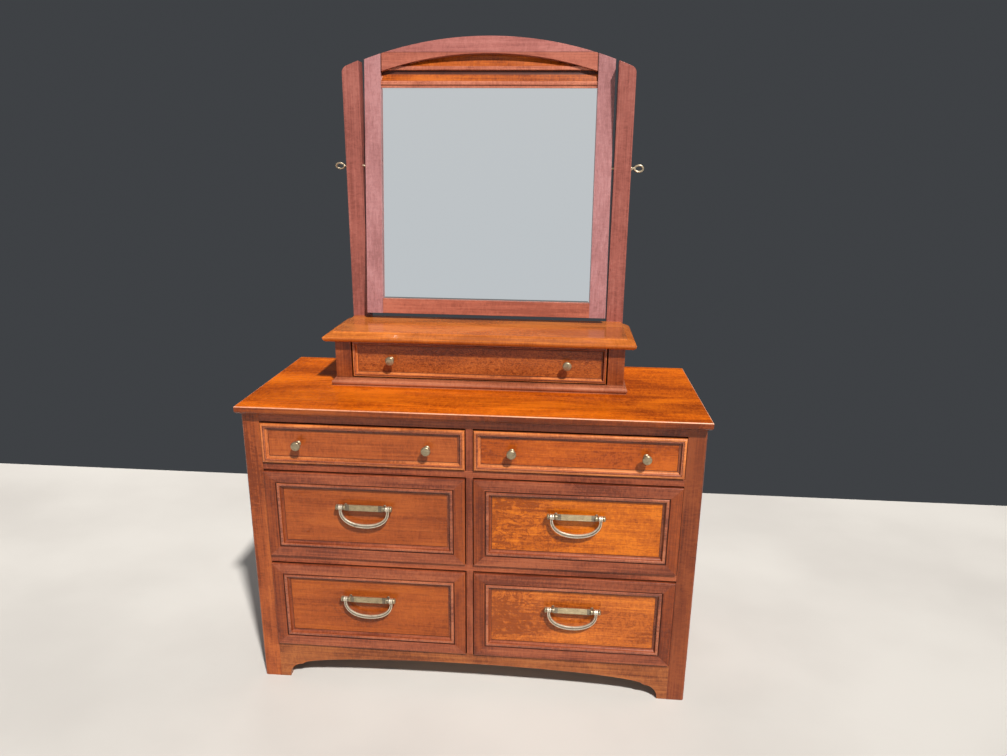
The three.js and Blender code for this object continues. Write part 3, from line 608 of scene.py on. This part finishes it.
for place in upper_drawers:
    framed_drawer_front(
        place, narrow_lip, front_thickness, face_plane, panels[place], lip_wood, lit_lip_wood_upright,
        upper_front_gap,
    )
for place in deep_drawers:
    framed_drawer_front(
        place, wide_frame, front_thickness, face_plane, panels[place], level_wood, upright_wood,
        deep_front_gap,
    )

# Drawer boxes. The boxes behind the fronts are pale hardwood, glued at the corners, sanded and
# sealed but not stained, with the grain running round the sides.
drawer_wood = stained_cherry(
    "pale_drawer_wood", "Y", tone=(0.61, 0.40, 0.21), contrast=0.25, shift=15.0, gloss=0.5, coat=0.0,
    wear=0.2,
)
for place in upper_drawers + deep_drawers:
    dress_node(place + "_drawer_box", drawer_wood)

# Knobs. Turned knobs of antique brass, screwed on through the panel: a small thick rose, a narrow
# neck and a disc head with a rounded rim and an almost flat face, rubbed pale where it is touched.
knob_radius, knob_length = 0.0127, 0.028

# points of [radius, distance from the panel]
knob_rose = [
    (0.0, 0.0), (0.0075, 0.0), (0.0077, 0.0009), (0.0074, 0.0020), (0.0064, 0.0029), (0.0050, 0.0035),
]
knob_neck = [(0.0043, 0.0045), (0.0041, 0.0075), (0.0043, 0.0115), (0.0050, 0.0145)]

# points of [share of the radius, share of the length] over the back, the rim and the face
knob_head = [
    (0.48, 0.57), (0.66, 0.59), (0.82, 0.63), (0.93, 0.69), (0.99, 0.76), (1.0, 0.82),
    (0.985, 0.875), (0.94, 0.92), (0.86, 0.955), (0.76, 0.975), (0.72, 0.968), (0.7, 0.972),
    (0.5, 0.988), (0.25, 0.997), (0.0, 1.0),
]


def aged_brass(name, patina, metal, bright, rough=0.34):
    material, tree, surface = empty_material(name)
    clouds = fibre(tree, "X", long=0.012, wide=0.008, detail=5, roughness=0.65, twist=0.8)
    specks = fibre(tree, "X", long=0.0015, wide=0.0012, detail=3, roughness=0.6)
    mixed = weighted(tree, (clouds, 0.7), (specks, 0.3))
    colour = colour_steps(tree, mixed, [(0.32, patina), (0.52, metal), (0.72, bright)])
    rubbed_reach, rubbed_share = 0.0012, 0.7
    polished = sums(tree, "MULTIPLY", rubbed_edges(tree, rubbed_reach), rubbed_share)
    rubbed = [min(1, part * 1.3) for part in bright]
    feed(
        surface,
        Base_Color=blend_colours(tree, polished, colour, (*rubbed, 1)),
        Metallic=0.72,
        Roughness=spread(tree, clouds, 0.3, 0.7, to_low=rough - 0.06, to_high=rough + 0.12),
        Normal=shade(tree, "Bump", Height=mixed, Strength=0.2, Distance=0.0003).outputs[0],
    )
    return material


knob_brass = aged_brass(
    "antique_brass_head", patina=(0.17, 0.125, 0.075), metal=(0.34, 0.27, 0.17), bright=(0.58, 0.48, 0.32)
)
shank_brass = aged_brass(
    "antique_brass_shank", patina=(0.09, 0.07, 0.05), metal=(0.18, 0.145, 0.1), bright=(0.3, 0.25, 0.18),
    rough=0.42,
)


def circle(count):
    return [2 * math.pi * step / count for step in range(count)]


def turned(work, profile, centre, direction, sides, finish_of=one_finish):
    # the profile is [radius, distance from the centre along the direction]
    finest = 0.00002
    forward = Vector(direction).normalized()
    across = forward.orthogonal().normalized()
    up = forward.cross(across)
    rings = [
        [
            Vector(centre) + forward * along
            + (across * math.cos(turn) + up * math.sin(turn)) * max(radius, finest)
            for turn in circle(sides)
        ]
        for radius, along in profile
    ]
    loft(work, rings, finish_of)


def turned_knob(name, node, body, panel_y):
    low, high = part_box(node)
    centre = ((low.x + high.x) / 2, panel_y, (low.z + high.z) / 2)
    head = [(share * knob_radius, along * knob_length) for share, along in knob_head]
    neck_steps = range(len(knob_rose) - 1, len(knob_rose + knob_neck) - 1)
    work = bmesh.new()
    turned(
        work, knob_rose + knob_neck + head, centre, (0, -1, 0), sides=40,
        finish_of=lambda step, side: 1 if step in neck_steps else 0,
    )
    make_piece(work, name, node, body, [knob_brass, shank_brass], crisp=50)


for place in upper_drawers:
    for end in ("left", "right"):
        turned_knob(f"{place}_turned_knob_{end}", f"{place}_knob_{end}", place + "_drawer", panel_plane)

# Pull bars. Cast pulls of antique brass, screwed on from inside the drawer. A reeded plate stands
# off the panel on two pillars, its ends and the pillars painted dark as painted shade; beside it a
# ringed collar and a pin carry the bail, and a disc finial closes it.
plate_brass = aged_brass(
    "antique_brass_plate", patina=(0.22, 0.165, 0.1), metal=(0.37, 0.29, 0.17), bright=(0.55, 0.45, 0.28)
)
plate_half_height, plate_thickness, plate_chamfer = 0.0085, 0.005, 0.0008
reeds, reed_height, reed_gap = 5, 0.0007, 0.0002
pillar_apart = 0.0535
plate_stations = (-0.0498, -0.0405, -0.0395, 0.0395, 0.0405, 0.0498)

# points of [radius, distance from the middle of the bar]: a collar, a ring, the pin, the finial
collar = [
    (0.0, 0.0495), (0.0068, 0.0495), (0.0078, 0.0503), (0.0080, 0.0516), (0.0078, 0.0529),
    (0.0062, 0.0533), (0.0062, 0.0544), (0.0070, 0.0548), (0.0072, 0.0558), (0.0066, 0.0569),
    (0.0030, 0.0570), (0.0030, 0.0709), (0.0070, 0.0710), (0.0079, 0.0717), (0.0080, 0.0730),
    (0.0077, 0.0745), (0.0068, 0.0757), (0.0052, 0.0767), (0.0030, 0.0773), (0.0, 0.0775),
]
dark_collar_steps = (4, 5, 8, 9, 10, 11)

# points of [radius, distance from the panel]
pillar = [
    (0.0, 0.0), (0.0044, 0.0), (0.0044, 0.0006), (0.0038, 0.0011), (0.0031, 0.0014),
    (0.0029, 0.0032), (0.0029, 0.0085), (0.0032, 0.0110), (0.0044, 0.0126), (0.0, 0.0130),
]
PLATE, PATINA_AND_SHADE, HEAD = range(3)


def joint_place(name):
    return Vector(next(joint["pos_m"] for joint in frame["joints"] if joint["name"] == name))


def reeded_pull_bar(place):
    centre = joint_place(place + "_bail_swing")
    face, back = centre.y - plate_thickness / 2, centre.y + plate_thickness / 2
    bottom, top = centre.z - plate_half_height, centre.z + plate_half_height
    outline = [(back, bottom + plate_chamfer), (back, top - plate_chamfer)]
    pitch = plate_half_height * 2 / reeds
    for reed in range(reeds):
        upper = top - reed * pitch - reed_gap / 2
        lower = upper - pitch + reed_gap
        hollow = face + reed_height
        outline += half_round((hollow, upper), (hollow, lower), bulge=(-reed_height, 0.0), count=6)
    rings = [
        [(centre.x + across, depth, height) for depth, height in outline] for across in plate_stations
    ]
    work = bmesh.new()
    # the plate is painted dark beyond its middle, a painted shade on its ends
    loft(work, rings, lambda step, side: PLATE if step == 2 else PATINA_AND_SHADE)
    for side in (-1, 1):
        turned(
            work, collar, centre, (side, 0, 0), sides=32,
            finish_of=lambda step, around: PATINA_AND_SHADE if step in dark_collar_steps else HEAD,
        )
        foot = Vector((centre.x + side * pillar_apart, panel_plane, centre.z))
        # the pillars are painted dark, a painted shade behind the plate
        turned(work, pillar, foot, (0, -1, 0), sides=28, finish_of=lambda step, around: PATINA_AND_SHADE)
    make_piece(
        work, place + "_reeded_pull_bar", place + "_pull_bar", place + "_drawer",
        [plate_brass, shank_brass, knob_brass], crisp=40,
    )


for place in deep_drawers:
    reeded_pull_bar(place)

# Bails. The swinging handles are cast D-shaped loops with an eye at each end, hung on the pins.
# A loop is thin at the top and widens to a flat ribbon at the bottom with a groove along the
# middle of it; its raised edges are rubbed brighter than the groove.
bail_brass = aged_brass(
    "antique_brass_bail", patina=(0.42, 0.34, 0.25), metal=(0.63, 0.54, 0.41), bright=(0.85, 0.77, 0.62),
    rough=0.32,
)
groove_brass = aged_brass(
    "antique_brass_groove", patina=(0.14, 0.11, 0.08), metal=(0.24, 0.19, 0.145),
    bright=(0.36, 0.3, 0.23), rough=0.42,
)
bail_half, bail_drop = 0.064, 0.054
eye_half_width, eye_half_thickness, widening, thinning = 0.0034, 0.0030, 0.0018, 0.0002
bail_flare, bail_steps, eye_sides = 1.6, 28, 28

# the curve of half a loop from its eye to its middle, in shares of bail_half and bail_drop
bail_bends = ((1.0, 0.04), (1.08, 0.62), (0.66, 1.0), (0.0, 1.0))

# the ribbon's section in shares of half its width and half its thickness, front first
ribbon = (
    (-1.0, -0.7), (-0.84, -0.92), (-0.6, -1.0), (-0.4, -0.95), (-0.26, -0.76), (0.0, -0.7),
    (0.26, -0.76), (0.4, -0.95), (0.6, -1.0), (0.84, -0.92), (1.0, -0.7),
    (1.0, 0.6), (0.8, 0.9), (0.5, 1.0), (-0.5, 1.0), (-0.8, 0.9), (-1.0, 0.6),
)
groove_sides = range(3, 7)

# points of [radius, distance from the eye's middle], from the bore round the outside and back
eye = [
    (0.0034, -0.0058), (0.0064, -0.0058), (0.0073, -0.0050), (0.0076, -0.0032), (0.0073, -0.0014),
    (0.0070, 0.0), (0.0073, 0.0014), (0.0076, 0.0032), (0.0073, 0.0050), (0.0064, 0.0058),
    (0.0034, 0.0058), (0.0034, -0.0058),
]


def bail_route(count):
    half = []
    for step in range(count + 1):
        share = step / count
        rest = 1 - share
        pulls = (rest ** 3, 3 * share * rest ** 2, 3 * share ** 2 * rest, share ** 3)
        across, down = (sum(pull * bend[way] for pull, bend in zip(pulls, bail_bends)) for way in (0, 1))
        half.append((across * bail_half, down * bail_drop))
    return [(-across, down) for across, down in half] + list(reversed(half[:-1]))


def grooved_bail(place):
    axis = joint_place(place + "_bail_swing")
    route = bail_route(bail_steps)
    rings = []
    for index, (across, down) in enumerate(route):
        before = route[max(index - 1, 0)]
        after = route[min(index + 1, len(route) - 1)]
        run = Vector((after[0] - before[0], 0, before[1] - after[1])).normalized()
        side = Vector((run.z, 0, -run.x))
        lowness = min(1, down / bail_drop) ** bail_flare
        half_width = eye_half_width + widening * lowness
        half_thickness = eye_half_thickness - thinning * lowness
        spot = axis + Vector((across, 0, -down))
        rings.append([
            spot + side * (out * half_width) + Vector((0, back * half_thickness, 0))
            for out, back in ribbon
        ])
    work = bmesh.new()
    loft(work, rings, lambda step, side: 1 if side in groove_sides else 0)
    for end in (-1, 1):
        centre = axis + Vector((end * bail_half, 0, 0))
        circles = [
            [
                centre + Vector((along, radius * math.cos(turn), radius * math.sin(turn)))
                for turn in circle(eye_sides)
            ]
            for radius, along in eye
        ]
        loft(work, circles, capped=False)
    make_piece(
        work, place + "_grooved_bail", place + "_pull_bail", place + "_bail",
        [bail_brass, groove_brass], crisp=38,
    )


for place in deep_drawers:
    grooved_bail(place)

# Deck base. The deck stands on a cherry base board screwed to the dresser top. Its front and
# sides carry a half-round bar over a thin foot, with a narrow ledge behind the bar.
base_wood = stained_cherry(
    "deck_base_cherry", "X", tone=(0.340, 0.105, 0.048), contrast=0.3, shift=16.1, gloss=0.2, coat=0.7
)
base_low, base_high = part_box("deck_base_moulding")
foot_inset, foot_height, bar_depth, bar_top, ledge_inset = 0.002, 0.002, 0.006, 0.017, 0.008
base_profile = [(foot_inset, 0.0), (foot_inset, foot_height)]
base_profile += half_round(
    (bar_depth, foot_height), (bar_depth, bar_top), bulge=(-bar_depth, 0.0), count=16
)
base_profile += [(ledge_inset, bar_top), (ledge_inset, base_high.z - base_low.z)]
moulded_slab("half_round_deck_base", "deck_base_moulding", base_profile, [base_wood])

# Deck sides and back. Two stiles with side boards behind them and a back board make the deck's
# box, glued up in cherry. The stiles' grain is upright; they are as dark as the case posts.
deck_stile_wood = stained_cherry("deck_stile_cherry", "Z", tone=(0.203, 0.042, 0.010), shift=17.3)
deck_back_wood = stained_cherry("deck_back_cherry", "X", tone=(0.26, 0.058, 0.018), shift=17.9)
dress_node("deck_left_side", deck_stile_wood)
dress_node("deck_right_side", deck_stile_wood)
dress_node("deck_back", deck_back_wood)

# Deck top. A thick cherry board laid over the deck. Below it is rounded under to the nose; above
# the nose an ogee runs back to a small fillet round the flat. It is as bright as the dresser top.
deck_top_wood = glued_boards(
    "deck_top_cherry", tone=(0.495, 0.130, 0.021), board_width=0.11, shift=18.5, coat=0.7, contrast=0.3
)
deck_low, deck_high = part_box("deck_top")
deck_thickness = deck_high.z - deck_low.z
nose_inset, nose_height, ogee_inset, ogee_height = 0.012, 0.013, 0.025, 0.0125
fillet_inset, fillet_height, flat_ease = 0.02575, 0.0010, 0.0004
ogee_steps = 18
deck_profile = quarter_round((nose_inset, 0.0), (0.0, nose_height))
for step in range(1, ogee_steps + 1):
    share = step / ogee_steps
    deck_profile.append((
        ogee_inset * (1 - math.cos(share * math.pi)) / 2,
        nose_height + ogee_height * share,
    ))
deck_profile += [
    (fillet_inset, deck_thickness - flat_ease - fillet_height),
    (fillet_inset, deck_thickness - flat_ease),
    (fillet_inset + flat_ease, deck_thickness),
]
moulded_slab("moulded_deck_top", "deck_top", deck_profile, [deck_top_wood], crisp=40)

# Deck drawer. One wide drawer runs on the base board, flush with the stiles, with a narrow lip,
# a bead and a cove round a speckled veneer panel, and two knobs like the upper drawers' ones.
deck_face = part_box("deck_left_side")[0].y
deck_front_thickness = 0.018
deck_lip = {
    "border": 0.003, "arris": 0.0025, "quirk": 0.0008, "bead": 0.004, "cove": 0.006,
    "foot": 0.0012, "crest": -0.00125,
}
panel_deck = panel_veneer("deck", (0.291, 0.066, 0.012), 0.5, "speckled", 0.5, shift=14.2)
framed_drawer_front(
    "deck", deck_lip, deck_front_thickness, deck_face, panel_deck, lip_wood, lit_lip_wood_upright
)
dress_node("deck_drawer_box", drawer_wood)
for end in ("left", "right"):
    turned_knob(f"deck_turned_knob_{end}", f"deck_knob_{end}", "deck_drawer", deck_face + panel_recess)

# Mirror posts. Two tall cherry posts stand on the top behind the deck and carry the mirror. Their
# heads are rounded over at the outside and carry on the curve of the mirror's arch.
mirror_post_wood = stained_cherry(
    "mirror_post_cherry", "Z", tone=(0.290, 0.085, 0.064), contrast=0.28, shift=19.4
)
dress_node("mirror_post_left", mirror_post_wood, soft_ease)
dress_node("mirror_post_right", mirror_post_wood, soft_ease)

# Mirror frame. Two full-height stiles, an arched top rail and a straight bottom rail, joined with
# their seams just open, in a brown stain under gloss lacquer. The pinkish cast on the stiles and the
# arch is a painted reflection. The arch is glued up from two boards, the lower one more orange.
# the stiles' pinkish cast is a painted reflection
frame_upright = stained_cherry(
    "mirror_stile_cherry", "Z", tone=(0.351, 0.150, 0.147), contrast=0.2, shift=20.2
)
frame_level = stained_cherry(
    "mirror_rail_cherry", "X", tone=(0.337, 0.093, 0.054), contrast=0.25, shift=21.6
)
dress_node("mirror_left_stile", frame_upright)
dress_node("mirror_right_stile", frame_upright)
dress_node("mirror_bottom_rail", frame_level)
arch_end, arch_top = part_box("mirror_arch_rail")[1].x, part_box("mirror_arch_rail")[1].z
glue_line_drop = 0.0432
glue_line = arch_top - glue_line_drop


def glued_arch(name):
    # the orange lower board, without the pinkish painted reflection, lies under a straight glue line, and
    # both ends have a dark joint
    orange_cast, joint_dark = (0.99, 0.84, 0.62, 1), (0.05, 0.012, 0.006, 1)
    seam_blur, line_outer, line_inner, line_strength = 0.0004, 0.0014, 0.0005, 0.55
    joint_start, joint_full, joint_strength = 0.0034, 0.0024, 0.92
    material = stained_cherry(name, "X", tone=(0.351, 0.115, 0.095), contrast=0.22, shift=22.2)
    tree, surface, stained = stain_of(material)
    place = shade(tree, "SeparateXYZ", Vector=own_place(tree))
    height = sums(tree, "SUBTRACT", place.outputs["Z"], glue_line)
    lower = spread(tree, height, seam_blur, -seam_blur)
    orange = blend_colours(tree, 1.0, stained, orange_cast, "MULTIPLY")
    boards = blend_colours(tree, lower, stained, orange)
    from_line = sums(tree, "ABSOLUTE", height)
    line = spread(tree, from_line, line_outer, line_inner, to_high=line_strength)
    from_middle = sums(tree, "ABSOLUTE", place.outputs["X"])
    ends = spread(
        tree, from_middle, arch_end - joint_start, arch_end - joint_full, to_high=joint_strength
    )
    joints = sums(tree, "MAXIMUM", line, ends)
    feed(surface, Base_Color=blend_colours(tree, joints, boards, joint_dark))
    return material


dress_node("mirror_arch_rail", glued_arch("mirror_arch_cherry"))

# Crown moulding. Under the arch sit two lapped cherry courses, each a square nose below a sloping
# ledge, glued to the frame. The lower course has a lip over the glass. The ends are scribed to
# the underside of the arch.
# the noses and the ledges are one wood in two tones: the ledges' deeper orange is painted light and the
# noses' pinkish cast a painted reflection
crown_wood = stained_cherry("crown_nose_cherry", "X", tone=(0.38, 0.11, 0.06), shift=22.7)
ledge_wood = stained_cherry("crown_ledge_cherry", "X", tone=(0.342, 0.068, 0.005), shift=23.5)
pivot = joint_place("mirror_tilt")
lean = math.radians(6.6)
hung = Matrix.Translation(pivot) @ Matrix.Rotation(-lean, 4, "X")

# the mirror's face lies in front of the pivot; depths count from the face, heights from the pivot
mirror_face, crown_back = -0.011, 0.020
lip_depth, lip_foot = 0.008, 0.219
lower_nose, lower_foot, lower_ledge = 0.0050, 0.226, 0.256
upper_nose, upper_foot, upper_ledge = 0.0070, 0.267, 0.295
crown_top, nose_rise, nose_chamfer, ledge_depth = 0.311, 0.011, 0.0012, 0.008
arch_crown, arch_radius, arch_width, scribe_gap = 0.357, 1.060, 0.046, 0.0003
NOSE, LEDGE, SHADOW = range(3)


def arch_underside(across):
    radius = arch_radius - arch_width - scribe_gap
    return arch_crown - arch_radius + math.sqrt(radius ** 2 - across ** 2)


def lapped_course(nose, foot, ledge, above):
    # a nose with a chamfer below and above it, and a ledge that slopes back from it
    return [
        (nose + nose_chamfer, foot, NOSE),
        (nose, foot + nose_chamfer, NOSE),
        (nose, foot + nose_rise - nose_chamfer, NOSE),
        (nose + nose_chamfer, foot + nose_rise, LEDGE),
        (nose + ledge_depth, ledge, above),
    ]


def lapped_crown(name, node):
    course = [(crown_back, lip_foot, NOSE), (lip_depth, lip_foot, NOSE), (lip_depth, lower_foot, LEDGE)]
    # the strip from the lower ledge up to the upper course is painted dark, a painted shade
    course += lapped_course(lower_nose, lower_foot, lower_ledge, SHADOW)
    course.append((lower_nose + ledge_depth, upper_foot, LEDGE))
    course += lapped_course(upper_nose, upper_foot, upper_ledge, LEDGE)
    course += [(upper_nose + ledge_depth, crown_top, NOSE), (crown_back, crown_top, NOSE)]
    low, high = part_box(node)
    crown_steps = 96
    rings = []
    for step in range(crown_steps + 1):
        across = low.x + (high.x - low.x) * step / crown_steps
        limit = arch_underside(across)
        rings.append([
            hung @ Vector((across, mirror_face + depth, min(height, limit)))
            for depth, height, _ in course
        ])
    work = bmesh.new()
    loft(work, rings, lambda step, side: course[side][2] if 0 <= step < len(rings) else NOSE)
    make_piece(
        work, name, node, "mirror", [crown_wood, ledge_wood, quirk_shadow], crisp=30
    )


lapped_crown("lapped_crown_moulding", "mirror_crown_moulding")

# Glass and backing. A sheet of silvered glass with a shallow 13 mm bevel round it lies in the
# rabbet, with a hardboard sheet pinned behind it. The silver is clean, its polish faintly uneven.


def silvered_glass(name):
    material, tree, surface = empty_material(name)
    smears = fibre(tree, "Z", long=0.12, wide=0.05, detail=4, roughness=0.5, twist=0.8)
    feed(
        surface,
        Base_Color=(0.86, 0.89, 0.89, 1),
        Metallic=1.0,
        Roughness=spread(tree, smears, 0.3, 0.8, to_low=0.012, to_high=0.035),
        Coat_Weight=0.5,
        Coat_Roughness=0.02,
    )
    return material


finish_node("mirror_glass", silvered_glass("silvered_glass"))
dress_node("mirror_backboard", hardboard, sheet_ease)

# Thumbscrews. A brass screw with a flat oval ring clamps the mirror at each pivot. It passes the
# post and a spacer into the stile, with a washer outside the post. The left ring stands turned.
screw_brass = aged_brass(
    "antique_brass_screw", patina=(0.26, 0.2, 0.13), metal=(0.46, 0.38, 0.26), bright=(0.66, 0.58, 0.42),
    rough=0.32,
)

# points of [radius, distance from the middle of the mirror]
bolt_and_spacer = [
    (0.0, 0.3335), (0.003, 0.3335), (0.003, 0.3588), (0.005, 0.3588), (0.005, 0.3652), (0.003, 0.3652),
]
washer_and_neck = [
    (0.003, 0.4138), (0.0062, 0.4138), (0.0065, 0.4144), (0.0065, 0.4156), (0.0058, 0.4163),
    (0.0050, 0.4167), (0.0040, 0.4190), (0.0036, 0.4205), (0.0042, 0.4225), (0.0050, 0.4240),
    (0.0046, 0.4250), (0.0, 0.4254),
]
ring_middle, ring_half_length, ring_half_width = 0.4370, 0.0122, 0.0088
wire_half_width, wire_half_thickness = 0.0028, 0.0023
ring_steps, wire_sides = 48, 14


def ring_thumbscrew(side, degrees):
    # the screw is 1 for right and -1 for left, and degrees is how far the ring stands turned
    hand = "right" if side > 0 else "left"
    work = bmesh.new()
    turned(work, bolt_and_spacer + washer_and_neck, pivot, (side, 0, 0), sides=28)
    stands = Matrix.Rotation(math.radians(degrees), 4, "X")
    rings = []
    for turn in circle(ring_steps) + [0.0]:
        length, width = math.cos(turn), math.sin(turn)
        spot = Vector((ring_middle + ring_half_length * length, 0, ring_half_width * width))
        out = Vector((ring_half_width * length, 0, ring_half_length * width)).normalized()
        section = []
        for sweep in circle(wire_sides):
            thickness = Vector((0, wire_half_thickness * math.sin(sweep), 0))
            place = spot + out * (wire_half_width * math.cos(sweep)) + thickness
            section.append(pivot + stands @ Vector((place.x * side, place.y, place.z)))
        rings.append(section)
    loft(work, rings, capped=False)
    make_piece(
        work, "ring_thumbscrew_" + hand, "thumbscrew_" + hand, hand + "_thumbscrew",
        [screw_brass], crisp=50,
    )


ring_thumbscrew(-1, degrees=30)
ring_thumbscrew(1, degrees=0)

# Studio floor. The dresser stands on a plain pale floor of painted board, laid flat, which ends
# a step behind it.
floor_reach, floor_back = 9.0, 1.15
floor_under, floor_surface_height = -0.02, -0.0005


def painted_floor(name):
    material, tree, surface = empty_material(name)
    patches = fibre(tree, "X", long=0.9, wide=0.7, detail=5, roughness=0.5)
    shades = [(0.3, (0.475, 0.45, 0.42)), (0.7, (0.545, 0.52, 0.485))]
    feed(surface, Base_Color=colour_steps(tree, patches, shades), Roughness=0.75)
    return material


floor_work = bmesh.new()
loft(floor_work, [
    [
        (-floor_reach, -floor_reach, height), (floor_reach, -floor_reach, height),
        (floor_reach, floor_back, height), (-floor_reach, floor_back, height),
    ]
    for height in (floor_under, floor_surface_height)
])
floor_mesh = bpy.data.meshes.new("studio_floor")
floor_work.to_mesh(floor_mesh)
floor_work.free()
floor_mesh.materials.append(painted_floor("studio_floor"))
floor = bpy.data.objects.new("studio_floor", floor_mesh)
bpy.context.scene.collection.objects.link(floor)

# Studio walls and lights. The studio's wall in front of the dresser is pale, and the one behind
# it is a darker grey. One soft light stands high in front of it, a little from the right, and a
# weak, wide one behind it keeps its back from going black.
world = bpy.data.worlds.new("studio")
bpy.context.scene.world = world
world.use_nodes = True
walls = world.node_tree
dark_wall = (0.062, 0.067, 0.074, 1)
pale_wall_shades = [
    (0.44, (0.23, 0.225, 0.22)), (0.53, (0.74, 0.76, 0.79)), (0.74, (0.77, 0.78, 0.8)),
    (0.88, (0.33, 0.34, 0.36)),
]
towards = shade(walls, "SeparateXYZ", Vector=shade(walls, "TexCoord").outputs["Generated"])
forwards = spread(walls, towards.outputs["Y"], -0.25, -0.9)
upwards = spread(walls, towards.outputs["Z"], -1.0, 1.0)
pale_wall = colour_steps(walls, upwards, pale_wall_shades)
feed(
    walls.nodes["Background"], Color=blend_colours(walls, forwards, dark_wall, pale_wall), Strength=0.8
)


def studio_light(name, kind, energy, place, aim):
    data = bpy.data.lights.new(name, kind)
    data.energy = energy
    light = bpy.data.objects.new(name, data)
    light.location = place
    light.rotation_euler = (Vector(aim) - Vector(place)).to_track_quat("-Z", "Y").to_euler()
    bpy.context.scene.collection.objects.link(light)
    return light


key = studio_light(
    "broad_key_light", "SUN", energy=5.4, place=(1.725, -3.0, 4.67), aim=(0, 0, 0.5)
)
key.data.angle = math.radians(3)
key.data.color = (1, 0.98, 0.95)
fill = studio_light(
    "weak_back_light", "AREA", energy=45, place=(-0.9, 3.4, 2.3), aim=(0, 0.2, 0.7)
)
fill.data.shape = "DISK"
fill.data.size = 2.5
fill.visible_camera = False
fill.visible_glossy = False

# Camera. A wide lens stood at head height a little right of the middle, looking down at the case
# and turned slightly to the left.
camera_tilt, camera_roll, camera_turn = 73.54977, -0.52421, 4.59551
bpy.context.scene.view_settings.view_transform = "Standard"
camera_data = bpy.data.cameras.new("camera")
camera_data.lens = 26.101
camera_data.sensor_width = 36
camera_data.sensor_fit = "HORIZONTAL"
camera_data.clip_end = 200
camera = bpy.data.objects.new("camera", camera_data)
camera.location = (0.22432, -1.99383, 1.45364)
camera.rotation_euler = [math.radians(angle) for angle in (camera_tilt, camera_roll, camera_turn)]
bpy.context.scene.collection.objects.link(camera)
bpy.context.scene.camera = camera
